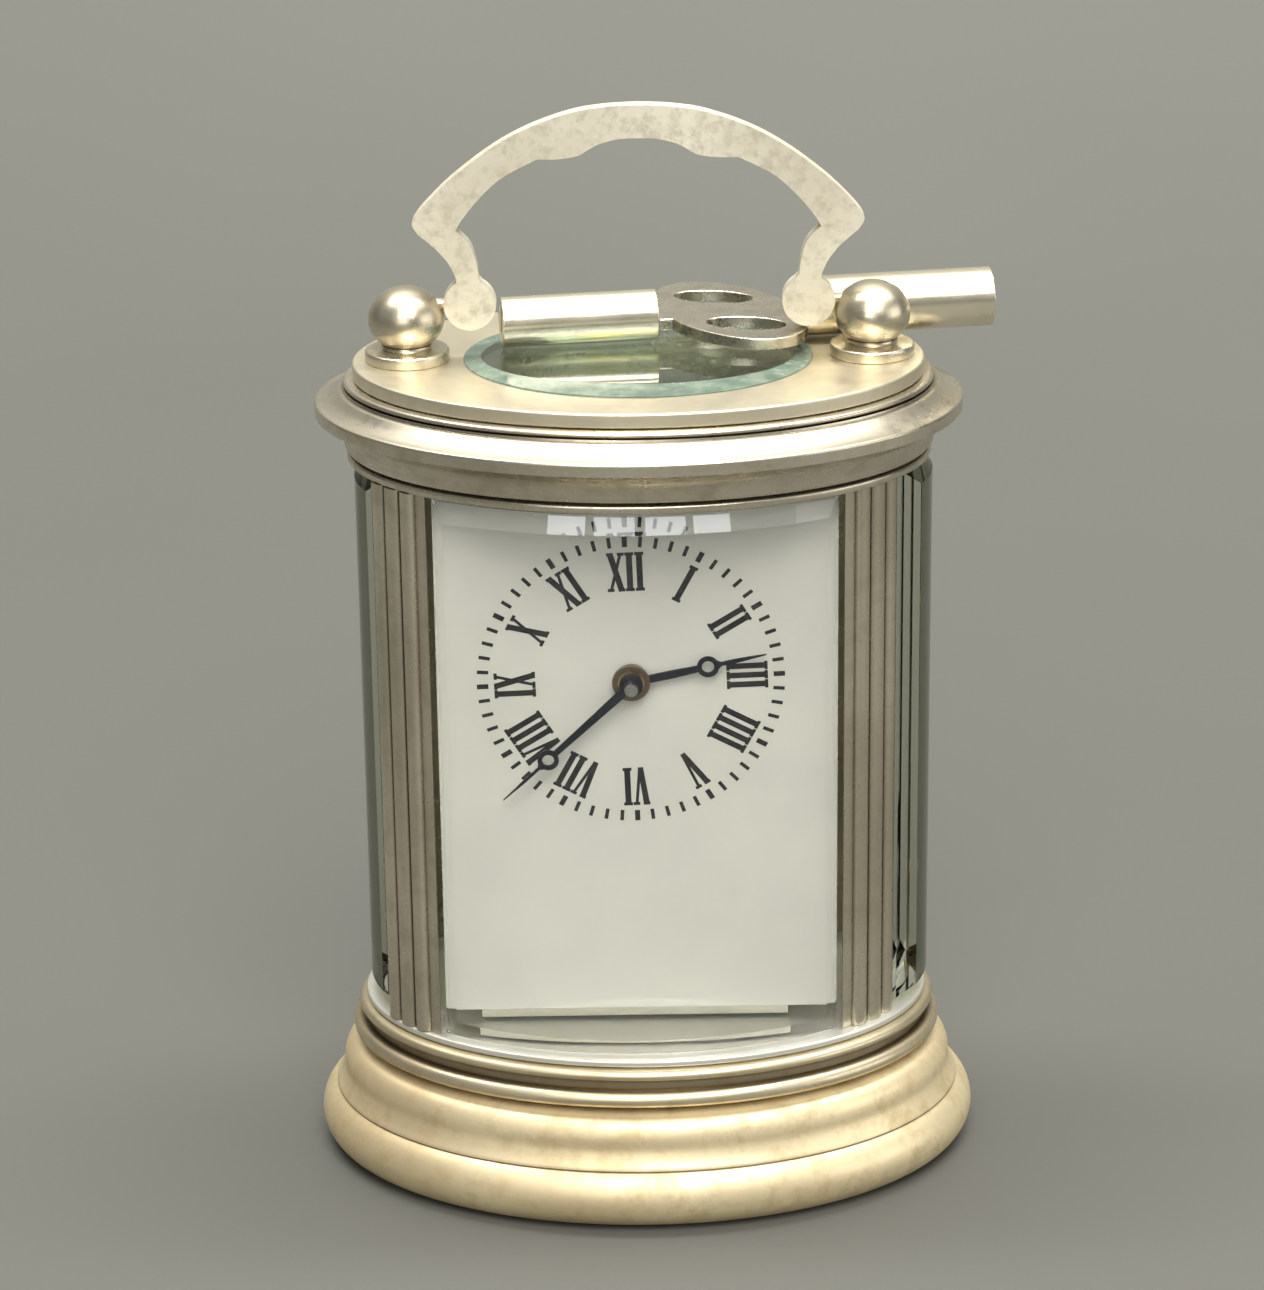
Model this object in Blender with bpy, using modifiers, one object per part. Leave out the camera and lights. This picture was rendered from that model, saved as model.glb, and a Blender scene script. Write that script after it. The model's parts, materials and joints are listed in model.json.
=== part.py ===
"""Oval carriage clock with a folding bail handle, glazed case, key and working movement.

Lengths are metres, +Z is up and the dial faces -Y.  The clock rests on z = 0.
Every sub-part is one named object in the collection "carriage_clock".
"""
import math

import bmesh
import bpy
from mathutils import Matrix, Vector

MM = 0.001
GAP = 0.3 * MM          # between fixed neighbours
RUN = 0.06 * MM         # radial clearance of a running fit
OVAL_STEPS = 40         # points round an oval section
ROUND_STEPS = 16        # points round a small turned part

# Case, as half width of each oval; half depth is always OVAL_DELTA less.
OVAL_DELTA = 8.0 * MM
BASE_HALF_WIDTH = 31.0 * MM
LIP_HALF_WIDTH = 29.25 * MM
RIM_HALF_WIDTH = 26.45 * MM
TOP_PLATE_HALF_WIDTH = 25.75 * MM

PLINTH_TOP = 10.65 * MM
MOULDING_BOTTOM = PLINTH_TOP + GAP
FLOOR_BOTTOM = 14.8 * MM
FLOOR_TOP = 15.45 * MM
BODY_RIM_BOTTOM = 67.8 * MM
BODY_RIM_TOP = 68.55 * MM
CORNICE_BOTTOM = 68.9 * MM
TOP_PLATE_BOTTOM = 75.4 * MM
TOP_PLATE_TOP = 76.73 * MM
TOP_GLASS_TOP = 76.98 * MM

# Glazed body: the glasses and pilasters stand 0.5 mm left of the case centre.
BODY_X = -0.5 * MM
GLASS_BOTTOM = FLOOR_TOP + GAP
GLASS_TOP = BODY_RIM_BOTTOM - GAP

# Finials and handle
FINIAL_X = 20.9 * MM
HANDLE_X = 0.15 * MM
PIVOT_X = 15.15 * MM
PIVOT_Z = 81.88 * MM
PIVOT_DISC_RADIUS = 2.35 * MM
HANDLE_THICKNESS = 1.5 * MM

# Key, lying on the top glass
KEY_START = Vector((-12.45, 2.2, 79.4)) * MM
KEY_END = Vector((32.4, 7.9, 79.7)) * MM
KEY_SMALL_RADIUS = 2.3 * MM
KEY_LARGE_RADIUS = 2.7 * MM
KEY_SMALL_SQUARE = 2.6 * MM
KEY_LARGE_SQUARE = 3.2 * MM
BOW_START = 14.6 * MM
BOW_END = 28.0 * MM
BOW_THICKNESS = 1.1 * MM
BOW_DROP = 0.5 * MM                 # the bow's middle lies this far under the tubes' axis
BOW_LONG = 9.2 * MM                 # half lengths of the oval bow
BOW_SHORT = 5.7 * MM
BOW_TURN = math.radians(117)        # its long axis, from the key's axis
BOW_TILT = math.radians(3)

# Door
DOOR_AXIS_X = BODY_X + 17.0 * MM
DOOR_AXIS_Y = 12.6 * MM
DOOR_BOTTOM = FLOOR_TOP + 2 * GAP
DOOR_TOP = BODY_RIM_BOTTOM - 2 * GAP

# Movement: arbors run along Y between two plates.
FRONT_PLATE_Y = -8.5 * MM
BACK_PLATE_Y = 6.5 * MM
PLATE_THICKNESS = 1.2 * MM
PLATE_BOTTOM = FLOOR_TOP + GAP
PLATE_TOP = 66.6 * MM
CENTRE_X = -1.05 * MM
CENTRE_Z = 49.95 * MM
DIAL_FRONT_Y = -11.0 * MM
DIAL_BACK_Y = -10.45 * MM

BARREL_TEETH = 60
CENTRE_PINION_TEETH = 10
CENTRE_TEETH = 48
THIRD_PINION_TEETH = 8
THIRD_TEETH = 60
CONTRATE_PINION_TEETH = 6
CONTRATE_TEETH = 48
ESCAPE_PINION_TEETH = 6
ESCAPE_TEETH = 15
CANNON_TEETH = 12
MINUTE_TEETH = 36
MINUTE_PINION_TEETH = 10
HOUR_TEETH = 40
RATCHET_TEETH = 24
RATCHET_Y = BACK_PLATE_Y + PLATE_THICKNESS + GAP
RATCHET_THICKNESS = 0.8 * MM
RATCHET_ROOT = 3.2 * MM
RATCHET_TIP = 3.9 * MM
CROWN_FRONT_Y = -1.6 * MM

BARREL_MODULE = 0.35 * MM
CENTRE_MODULE = 0.30 * MM
THIRD_MODULE = 0.22 * MM
MINUTE_MODULE = 0.25 * MM
HOUR_MODULE = 0.24 * MM

BARREL_RADIUS = BARREL_TEETH * BARREL_MODULE / 2
CENTRE_PINION_RADIUS = CENTRE_PINION_TEETH * BARREL_MODULE / 2
CENTRE_RADIUS = CENTRE_TEETH * CENTRE_MODULE / 2
THIRD_PINION_RADIUS = THIRD_PINION_TEETH * CENTRE_MODULE / 2
THIRD_RADIUS = THIRD_TEETH * THIRD_MODULE / 2
CONTRATE_PINION_RADIUS = CONTRATE_PINION_TEETH * THIRD_MODULE / 2
CONTRATE_RADIUS = 6.4 * MM
ESCAPE_PINION_RADIUS = CONTRATE_RADIUS * ESCAPE_PINION_TEETH / CONTRATE_TEETH
ESCAPE_RADIUS = 2.9 * MM

BARREL_X = CENTRE_X
BARREL_Z = CENTRE_Z - BARREL_RADIUS - CENTRE_PINION_RADIUS
THIRD_ANGLE = math.radians(40)
THIRD_DISTANCE = CENTRE_RADIUS + THIRD_PINION_RADIUS
THIRD_X = CENTRE_X + THIRD_DISTANCE * math.cos(THIRD_ANGLE)
THIRD_Z = CENTRE_Z + THIRD_DISTANCE * math.sin(THIRD_ANGLE)
CONTRATE_DISTANCE = THIRD_RADIUS + CONTRATE_PINION_RADIUS
CONTRATE_X = CENTRE_X
CONTRATE_Z = THIRD_Z + math.sqrt(CONTRATE_DISTANCE ** 2 - (THIRD_X - CONTRATE_X) ** 2)
MINUTE_DISTANCE = (CANNON_TEETH + MINUTE_TEETH) * MINUTE_MODULE / 2
MINUTE_X = CENTRE_X - MINUTE_DISTANCE
MINUTE_Z = CENTRE_Z

# Platform escapement: arbors run along Z, in a line from escape wheel to balance.
PLATFORM_BOTTOM = PLATE_TOP + GAP
PLATFORM_TOP = PLATFORM_BOTTOM + 1.0 * MM
ESCAPE_X = CONTRATE_X
ESCAPE_Y = -2.05 * MM
ESCAPE_LINE = Vector((0.894, 0.447))
LEVER_DISTANCE = 4.6 * MM
BALANCE_DISTANCE = 9.4 * MM
LEVER_X = ESCAPE_X + LEVER_DISTANCE * ESCAPE_LINE.x
LEVER_Y = ESCAPE_Y + LEVER_DISTANCE * ESCAPE_LINE.y
BALANCE_X = ESCAPE_X + BALANCE_DISTANCE * ESCAPE_LINE.x
BALANCE_Y = ESCAPE_Y + BALANCE_DISTANCE * ESCAPE_LINE.y
ESCAPE_WHEEL_Z = PLATFORM_TOP + 0.7 * MM
BALANCE_Z = PLATFORM_TOP + 2.6 * MM
BALANCE_RADIUS = 4.6 * MM

FINISHES = {
    "silvered": ((0.62, 0.58, 0.50), 0.35, 1.0),
    "brass": ((0.78, 0.60, 0.30), 0.30, 1.0),
    "steel": ((0.60, 0.61, 0.63), 0.30, 1.0),
    "blued": ((0.03, 0.04, 0.09), 0.30, 1.0),
    "enamel": ((0.86, 0.85, 0.82), 0.30, 0.0),
    "glass": ((0.75, 0.82, 0.80), 0.05, 0.0),
}


# ---------------------------------------------------------------- tools


def clear_scene():
    for item in list(bpy.data.objects):
        bpy.data.objects.remove(item, do_unlink=True)


def new_collection(name):
    collection = bpy.data.collections.new(name)
    bpy.context.scene.collection.children.link(collection)
    return collection


def new_material(name, finish):
    colour, roughness, metallic = FINISHES[finish]
    material = bpy.data.materials.new(name)
    material.use_nodes = True
    shader = material.node_tree.nodes["Principled BSDF"]
    shader.inputs["Base Color"].default_value = (*colour, 1.0)
    shader.inputs["Roughness"].default_value = roughness
    shader.inputs["Metallic"].default_value = metallic
    return material


def add_part(name, mesh, finish, origin=(0, 0, 0)):
    """Link a part whose mesh is in world coordinates, with its origin moved to origin."""
    part = bpy.data.objects.new(name, mesh)
    PARTS.objects.link(part)
    mesh.transform(Matrix.Translation(-Vector(origin)))
    part.location = origin
    mesh.materials.clear()
    mesh.materials.append(new_material(name, finish))
    mesh.shade_smooth()
    mesh.set_sharp_from_angle(angle=math.radians(35))
    return part


def mesh_from(builder):
    """A mesh from a bmesh, with its faces turned outwards."""
    bmesh.ops.remove_doubles(builder, verts=builder.verts, dist=1e-7)
    bmesh.ops.recalc_face_normals(builder, faces=builder.faces)
    mesh = bpy.data.meshes.new("shape")
    builder.to_mesh(mesh)
    builder.free()
    return mesh


def baked(item):
    """The evaluated, welded mesh of a temporary object, which is then removed."""
    bpy.context.view_layer.update()
    shape = bpy.data.meshes.new_from_object(item.evaluated_get(bpy.context.evaluated_depsgraph_get()))
    shape.transform(item.matrix_world)
    builder = bmesh.new()
    builder.from_mesh(shape)
    bpy.data.meshes.remove(shape)
    bpy.data.objects.remove(item, do_unlink=True)
    return mesh_from(builder)


def prism(loops, low, height):
    """A flat outline in XY, its first loop outer and the rest holes, from z = low upwards."""
    curve = bpy.data.curves.new("outline", "CURVE")
    curve.dimensions = "2D"
    curve.fill_mode = "BOTH"
    curve.extrude = height / 2
    for loop in loops:
        spline = curve.splines.new("POLY")
        spline.points.add(len(loop) - 1)
        spline.use_cyclic_u = True
        for point, (x, y) in zip(spline.points, loop):
            point.co = (x, y, 0.0, 1.0)
    item = bpy.data.objects.new("outline", curve)
    PARTS.objects.link(item)
    item.location.z = low + height / 2
    return baked(item)


def upright_prism(loops, front_y, depth):
    """The same outline in XZ, from y = front_y backwards."""
    mesh = prism(loops, -front_y - depth, depth)
    mesh.transform(Matrix.Rotation(math.radians(90), 4, "X"))
    return mesh


def turned(profile, steps=ROUND_STEPS):
    """A solid of revolution about Z from (radius, z) points that run from top to bottom."""
    points = [(radius, 0.0, z) for radius, z in profile]
    edges = [(i, i + 1) for i in range(len(points) - 1)]
    mesh = bpy.data.meshes.new("profile")
    mesh.from_pydata(points, edges, [])
    item = bpy.data.objects.new("profile", mesh)
    PARTS.objects.link(item)
    screw = item.modifiers.new("turn", "SCREW")
    screw.steps = steps
    screw.render_steps = steps
    screw.use_merge_vertices = True
    screw.merge_threshold = 1e-6
    return baked(item)


def turned_along_y(profile, x, z, steps=ROUND_STEPS):
    """A solid of revolution about an arbor at (x, z); the profile's heights are world Y."""
    mesh = turned(profile, steps)
    mesh.transform(Matrix.Translation((x, 0, z)) @ Matrix.Rotation(math.radians(-90), 4, "X"))
    return mesh


def stepped(*sections):
    """The profile of a shaft from (radius, low, high) sections, top section first."""
    profile = [(0.0, sections[0][2])]
    for radius, low, high in sections:
        profile += [(radius, high), (radius, low)]
    return profile + [(0.0, sections[-1][1])]


def oval(half_width, half_depth, z):
    angles = [2 * math.pi * i / OVAL_STEPS for i in range(OVAL_STEPS)]
    return [(half_width * math.cos(t), half_depth * math.sin(t), z) for t in angles]


def oval_loft(sections, ring=False):
    """A loft through (half width, half depth, z) ovals: capped, or closed on itself as a ring."""
    builder = bmesh.new()
    loops = [[builder.verts.new(point) for point in oval(*section)] for section in sections]
    pairs = list(zip(loops, loops[1:]))
    if ring:
        pairs.append((loops[-1], loops[0]))
    else:
        builder.faces.new(loops[0])
        builder.faces.new(loops[-1])
    for lower, upper in pairs:
        for i in range(OVAL_STEPS):
            j = (i + 1) % OVAL_STEPS
            builder.faces.new((lower[i], lower[j], upper[j], upper[i]))
    return mesh_from(builder)


def moulded(profile, ring=False):
    """An oval moulding from (half width, z) points."""
    return oval_loft([(width, width - OVAL_DELTA, z) for width, z in profile], ring)


def circle(x, y, radius, steps=ROUND_STEPS, start=0.0):
    angles = [start + 2 * math.pi * i / steps for i in range(steps)]
    return [(x + radius * math.cos(t), y + radius * math.sin(t)) for t in angles]


def rectangle(x_low, y_low, x_high, y_high):
    return [(x_low, y_low), (x_high, y_low), (x_high, y_high), (x_low, y_high)]


def gear_outline(teeth, radius, module, phase=0.0, centre=(0.0, 0.0), addendum=0.9, dedendum=1.2):
    """Pointed watch-gear teeth; one tooth points along the phase angle."""
    pitch = 2 * math.pi / teeth
    half_root = 0.27 * pitch
    root = radius - dedendum * module
    tip = radius + addendum * module
    points = []
    for i in range(teeth):
        middle = phase + i * pitch
        for angle, reach in ((middle - half_root, root), (middle, tip), (middle + half_root, root)):
            points.append((centre[0] + reach * math.cos(angle), centre[1] + reach * math.sin(angle)))
    return points


def joined(meshes):
    """One solid from overlapping meshes."""
    base = bpy.data.objects.new("base", meshes[0])
    PARTS.objects.link(base)
    others = []
    for mesh in meshes[1:]:
        other = bpy.data.objects.new("other", mesh)
        CUTTERS.objects.link(other)
        others.append(other)
        modifier = base.modifiers.new("join", "BOOLEAN")
        modifier.operation = "UNION"
        modifier.object = other
    shape = baked(base)
    for other in others:
        bpy.data.objects.remove(other, do_unlink=True)
    return shape


def drilled(mesh, cutters):
    """A mesh with each cutter's shape taken out of it."""
    base = bpy.data.objects.new("base", mesh)
    PARTS.objects.link(base)
    tools = []
    for cutter in cutters:
        tool = bpy.data.objects.new("cutter", cutter)
        tool.hide_render = True
        tool.display_type = "WIRE"
        CUTTERS.objects.link(tool)
        tools.append(tool)
        modifier = base.modifiers.new("cut", "BOOLEAN")
        modifier.operation = "DIFFERENCE"
        modifier.object = tool
    shape = baked(base)
    for tool in tools:
        bpy.data.objects.remove(tool, do_unlink=True)
    return shape


def rod(x, y, radius, low, high, steps=12):
    """An upright cylinder."""
    mesh = turned([(0.0, high), (radius, high), (radius, low), (0.0, low)], steps)
    mesh.transform(Matrix.Translation((x, y, 0)))
    return mesh


# ---------------------------------------------------------------- case


def make_base():
    plinth = [(29.4, 0.0), (30.4, 0.6), (30.95, 2.0), (31.0, 3.3), (30.75, 4.9), (30.2, 6.1),
              (29.6, 6.6), (29.15, 7.5), (28.95, 8.7), (28.4, 9.9), (27.3, 10.65)]
    add_part("base_plinth", moulded([(a * MM, z * MM) for a, z in plinth]), "silvered")
    beads = [(26.9, 10.95), (27.6, 11.3), (27.7, 11.95), (27.45, 12.6), (26.7, 12.85),
             (26.7, 13.3), (27.0, 13.55), (27.0, 14.1), (26.8, 14.5)]
    add_part("base_moulding", moulded([(a * MM, z * MM) for a, z in beads]), "silvered")
    floor = moulded([(RIM_HALF_WIDTH, FLOOR_BOTTOM), (RIM_HALF_WIDTH, FLOOR_TOP)])
    hole = rod(DOOR_AXIS_X, DOOR_AXIS_Y, 0.5 * MM + 2 * RUN, 14 * MM, 16 * MM)
    add_part("base_floor", drilled(floor, [hole]), "silvered")


def make_cornice():
    inner = 22.5 * MM
    rim = moulded([(RIM_HALF_WIDTH, BODY_RIM_BOTTOM), (RIM_HALF_WIDTH, BODY_RIM_TOP),
                   (inner, BODY_RIM_TOP), (inner, BODY_RIM_BOTTOM)], ring=True)
    hole = rod(DOOR_AXIS_X, DOOR_AXIS_Y, 0.5 * MM + 2 * RUN, 67 * MM, 69 * MM)
    add_part("body_rim", drilled(rim, [hole]), "silvered")
    outer = [(26.6, 68.9), (26.8, 69.6), (27.3, 70.8), (28.2, 71.7), (28.8, 72.0), (29.25, 72.1),
             (29.25, 73.1), (28.9, 73.4), (27.8, 73.85), (26.75, 74.55), (26.4, 75.1)]
    profile = [(a * MM, z * MM) for a, z in outer] + [(inner, 75.1 * MM), (inner, 68.9 * MM)]
    add_part("cornice", moulded(profile, ring=True), "silvered")


def make_top():
    hole_a = 14.6 * MM
    hole_b = 11.8 * MM
    edge_b = TOP_PLATE_HALF_WIDTH - OVAL_DELTA
    plate = oval_loft([(TOP_PLATE_HALF_WIDTH, edge_b, TOP_PLATE_BOTTOM),
                       (TOP_PLATE_HALF_WIDTH, edge_b, TOP_PLATE_TOP),
                       (hole_a, hole_b, TOP_PLATE_TOP), (hole_a, hole_b, TOP_PLATE_BOTTOM)], ring=True)
    add_part("top_plate", plate, "silvered")
    seat_a = hole_a - GAP
    seat_b = hole_b - GAP
    ledge = TOP_PLATE_TOP + 0.05 * MM
    glass = oval_loft([(seat_a, seat_b, TOP_PLATE_BOTTOM), (seat_a, seat_b, ledge),
                       (15.73 * MM, 12.9 * MM, ledge), (15.6 * MM, 12.7 * MM, ledge + 0.1 * MM),
                       (14.1 * MM, 8.6 * MM, TOP_GLASS_TOP)])
    add_part("top_glass", glass, "glass")


def body_arc(half_width, half_depth, x_from, x_to, steps, side=-1):
    """Points along an oval of the glazed body, on its front (side -1) or back (side 1)."""
    points = []
    for i in range(steps + 1):
        x = x_from + (x_to - x_from) * i / steps
        points.append((BODY_X + x, side * half_depth * math.sqrt(1 - (x / half_width) ** 2)))
    return points


def side_arc(half_width, half_depth, y_from, y_to, steps, side):
    points = []
    for i in range(steps + 1):
        y = y_from + (y_to - y_from) * i / steps
        points.append((side * half_width * math.sqrt(1 - (y / half_depth) ** 2), y))
    return points


def make_glasses():
    reach = 18.4 * MM
    outline = body_arc(26.2 * MM, 18.15 * MM, -reach, reach, 14)
    outline += body_arc(24.6 * MM, 16.55 * MM, reach, -reach, 14)
    height = GLASS_TOP - GLASS_BOTTOM
    add_part("front_glass", prism([outline], GLASS_BOTTOM, height), "glass")
    for name, side, inset in (("side_glass_left", -1, 0.7 * MM), ("side_glass_right", 1, 0.0)):
        half = 7.0 * MM
        outline = side_arc(26.6 * MM - inset, 18.6 * MM, -half, half, 6, side)
        outline += side_arc(24.6 * MM - inset, 16.6 * MM, half, -half, 6, side)
        add_part(name, prism([outline], GLASS_BOTTOM, height), "glass")


def pilaster_outline(side_x, side_y):
    """A curved strip with a flat fillet and three reeds on its outer face."""
    steps = 12
    fillet = 18.85 * MM
    x_from = 19.45 * MM
    x_to = 23.25 * MM
    outline = [(fillet, 17.6 * MM * math.sqrt(1 - (fillet / (25.6 * MM)) ** 2))]
    for i in range(steps + 1):
        x = x_from + (x_to - x_from) * i / steps
        relief = 0.45 * MM * abs(math.sin(3 * math.pi * i / steps))
        depth = 17.6 * MM * math.sqrt(1 - (x / (25.6 * MM)) ** 2)
        normal = Vector((x / (25.6 * MM) ** 2, depth / (17.6 * MM) ** 2)).normalized()
        outline.append((x + relief * normal.x, depth + relief * normal.y))
    for i, (x, y) in enumerate(reversed(outline[:1] + outline[4::3])):
        share = 1 - i / 4
        outline.append((x - 1.4 * MM * share, y - 1.6 * MM * (1 - share)))
    return [(BODY_X + side_x * x, side_y * y) for x, y in outline]


def make_pilasters():
    for name, side_x, side_y in (("pilaster_front_left", -1, -1), ("pilaster_front_right", 1, -1),
                                 ("pilaster_back_left", -1, 1), ("pilaster_back_right", 1, 1)):
        outline = pilaster_outline(side_x, side_y)
        add_part(name, prism([outline], GLASS_BOTTOM, GLASS_TOP - GLASS_BOTTOM), "silvered")


def make_finials():
    collar_top = TOP_PLATE_TOP + GAP + 0.8 * MM
    collar = [(0, collar_top), (3.6 * MM, collar_top), (3.81 * MM, collar_top - 0.25 * MM),
              (3.81 * MM, TOP_PLATE_TOP + GAP), (0, TOP_PLATE_TOP + GAP)]
    neck = collar_top + 0.05 * MM
    middle = 80.55 * MM
    half_height = 2.95 * MM
    half_width = 3.45 * MM
    ball = []
    for i in range(9):
        angle = math.radians(90 - 155 * i / 8)
        ball.append((half_width * max(0.0, math.cos(angle)), middle + half_height * math.sin(angle)))
    ball += [(1.6 * MM, neck + 0.25 * MM), (2.2 * MM, neck), (0.0, neck)]
    for side, word in ((-1, "left"), (1, "right")):
        x = HANDLE_X + side * FINIAL_X
        disc = turned(collar, 20)
        disc.transform(Matrix.Translation((x, 0, 0)))
        add_part("finial_collar_" + word, disc, "silvered")
        bun = turned(ball, 20)
        bun.transform(Matrix.Translation((x, 0, 0)))
        socket = turned([(0, 4.2 * MM), (0.62 * MM, 4.2 * MM), (0.62 * MM, 0), (0, 0)], 12)
        socket.transform(Matrix.Translation((HANDLE_X + side * PIVOT_X, 0, PIVOT_Z))
                         @ Matrix.Rotation(math.radians(90 * side), 4, "Y"))
        add_part("finial_ball_" + word, drilled(bun, [socket]), "silvered")


def handle_half_outline():
    """The right half of the bail from the top of its arch, down round the disc and back up."""
    outer = [(0, 99.9), (3.0, 99.75), (6.0, 99.25), (9.7, 97.95), (13.0, 96.15), (16.4, 93.6),
             (18.6, 91.5), (19.8, 90.2), (20.1, 89.4), (19.7, 88.6), (18.1, 87.1), (16.9, 85.7),
             (16.25, 84.3)]
    inner = [(14.35, 84.3), (14.55, 85.9), (15.1, 87.5), (16.25, 88.75), (15.6, 89.8), (14.2, 91.5),
             (12.0, 93.5), (8.9, 95.1), (5.4, 95.35), (3.3, 96.45), (1.6, 96.85), (0, 96.9)]
    radius = PIVOT_DISC_RADIUS / MM
    disc = []
    for i in range(15):
        angle = math.radians(62 - 304 * i / 14)
        disc.append((PIVOT_X / MM + radius * math.cos(angle), PIVOT_Z / MM + radius * math.sin(angle)))
    return [(x * MM, z * MM) for x, z in outer + disc + inner]


def make_handle():
    right = handle_half_outline()
    left = [(-x, z) for x, z in reversed(right[1:-1])]
    outline = [(HANDLE_X + x, z) for x, z in right + left]
    pivot = (HANDLE_X, 0, PIVOT_Z)
    bail = upright_prism([outline], -HANDLE_THICKNESS / 2, HANDLE_THICKNESS)
    pins = []
    for side in (-1, 1):
        pin = turned([(0, 4.0 * MM), (0.5 * MM, 4.0 * MM), (0.5 * MM, 1.8 * MM), (0, 1.8 * MM)], 12)
        pin.transform(Matrix.Translation((HANDLE_X + side * PIVOT_X, 0, PIVOT_Z))
                      @ Matrix.Rotation(math.radians(90 * side), 4, "Y"))
        pins.append(pin)
    add_part("handle", joined([bail] + pins), "silvered", pivot)


# ---------------------------------------------------------------- key


def key_frame():
    """A frame with X along the key, Z up and its origin at the key's small end."""
    along = (KEY_END - KEY_START).normalized()
    across = Vector((0, 0, 1)).cross(along).normalized()
    up = along.cross(across)
    frame = Matrix((along, across, up)).transposed().to_4x4()
    return Matrix.Translation(KEY_START) @ frame


def key_tube(start, end, radius, square):
    """A tube along the key with a square bore for the arbor."""
    bore = circle(0, 0, square * math.sqrt(0.5), 4, math.radians(45))
    tube = prism([circle(0, 0, radius, 20), bore], start, end - start)
    tube.transform(key_frame() @ Matrix.Rotation(math.radians(90), 4, "Y"))
    return tube


def tilted_oval(centre, long_half, short_half, turn, steps):
    """Points of an oval whose long axis stands at an angle."""
    points = []
    for i in range(steps):
        angle = 2 * math.pi * i / steps
        along = long_half * math.cos(angle)
        across = short_half * math.sin(angle)
        points.append((centre[0] + along * math.cos(turn) - across * math.sin(turn),
                       centre[1] + along * math.sin(turn) + across * math.cos(turn)))
    return points


def make_key():
    length = (KEY_END - KEY_START).length
    seam = 0.05 * MM
    small = key_tube(0, BOW_START - seam, KEY_SMALL_RADIUS, KEY_SMALL_SQUARE)
    add_part("key_setting_tube", small, "silvered", KEY_START)
    large = key_tube(BOW_END + seam, length, KEY_LARGE_RADIUS, KEY_LARGE_SQUARE)
    add_part("key_winding_tube", large, "silvered", KEY_START)
    middle = (BOW_START + BOW_END) / 2
    loops = [tilted_oval((middle, 0), BOW_LONG, BOW_SHORT, BOW_TURN, 28)]
    for side in (-1, 1):
        hole_centre = (middle + side * 0.9 * MM, -side * 3.9 * MM)
        loops.append(tilted_oval(hole_centre, 3.6 * MM, 1.7 * MM, math.radians(-18), 14))
    wings = prism(loops, -BOW_THICKNESS / 2, BOW_THICKNESS)
    neck = 1.7 * MM
    overlap = 1.2 * MM
    necks = []
    for start, end in ((BOW_START, middle - BOW_SHORT + overlap), (middle + BOW_SHORT - overlap, BOW_END)):
        necks.append(prism([rectangle(start, -neck, end, neck)], -BOW_THICKNESS / 2, BOW_THICKNESS))
    bow = joined([wings] + necks)
    bow.transform(key_frame() @ Matrix.Translation((0, 0, -BOW_DROP)) @ Matrix.Rotation(BOW_TILT, 4, "X"))
    add_part("key_bow", bow, "silvered", KEY_START)


# ---------------------------------------------------------------- back door


def make_door():
    origin = (DOOR_AXIS_X, DOOR_AXIS_Y, 0)
    reach = 17.8 * MM
    outline = body_arc(26.2 * MM, 18.2 * MM, -reach, reach, 12, 1)
    outline += body_arc(24.0 * MM, 16.0 * MM, reach, -reach, 12, 1)
    frame = prism([outline], DOOR_BOTTOM, DOOR_TOP - DOOR_BOTTOM)
    window = prism([rectangle(BODY_X - 13.6 * MM, 8 * MM, BODY_X + 13.6 * MM, 20 * MM)],
                   DOOR_BOTTOM + 4 * MM, DOOR_TOP - DOOR_BOTTOM - 8 * MM)
    pin_length = 3.0 * MM
    pin_radius = 0.5 * MM
    low_pin_top = DOOR_BOTTOM + pin_length
    high_pin_bottom = DOOR_TOP - pin_length
    cuts = [window]
    for low, high in ((14 * MM, low_pin_top + GAP), (high_pin_bottom - GAP, 69 * MM)):
        cuts.append(rod(DOOR_AXIS_X, DOOR_AXIS_Y, pin_radius + RUN, low, high))
    add_part("door_frame", drilled(frame, cuts), "silvered", origin)
    for name, low, high in (("hinge_pin_lower", FLOOR_BOTTOM + 0.05 * MM, low_pin_top),
                            ("hinge_pin_upper", high_pin_bottom, BODY_RIM_TOP - 0.05 * MM)):
        add_part(name, rod(DOOR_AXIS_X, DOOR_AXIS_Y, pin_radius, low, high), "steel", origin)
    knob_x = BODY_X - 15.8 * MM
    knob_z = 40 * MM
    pane_reach = 13.3 * MM
    pane = body_arc(25.7 * MM, 17.7 * MM, -pane_reach, pane_reach, 10, 1)
    pane += body_arc(24.5 * MM, 16.5 * MM, pane_reach, -pane_reach, 10, 1)
    pane_mesh = prism([pane], DOOR_BOTTOM + 4 * MM + GAP, DOOR_TOP - DOOR_BOTTOM - 8 * MM - 2 * GAP)
    add_part("door_glass", pane_mesh, "glass", origin)
    knob_y = 18.2 * MM * math.sqrt(1 - (15.8 / 26.2) ** 2) + GAP
    knob = turned_along_y([(0, knob_y + 2.6 * MM), (0.9 * MM, knob_y + 2.6 * MM),
                           (1.3 * MM, knob_y + 2.1 * MM), (1.3 * MM, knob_y + 1.5 * MM),
                           (0.6 * MM, knob_y + 1.1 * MM), (0.6 * MM, knob_y + 0.3 * MM),
                           (0, knob_y + 0.3 * MM)], knob_x, knob_z, 14)
    add_part("door_knob", knob, "brass", origin)


# ---------------------------------------------------------------- movement frame


def plate_loops(hole_list):
    corner_x = 14.0 * MM
    loops = [rectangle(CENTRE_X - corner_x, PLATE_BOTTOM, CENTRE_X + corner_x, PLATE_TOP)]
    for x, z, radius in hole_list:
        loops.append(circle(x, z, radius, 12))
    return loops


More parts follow.
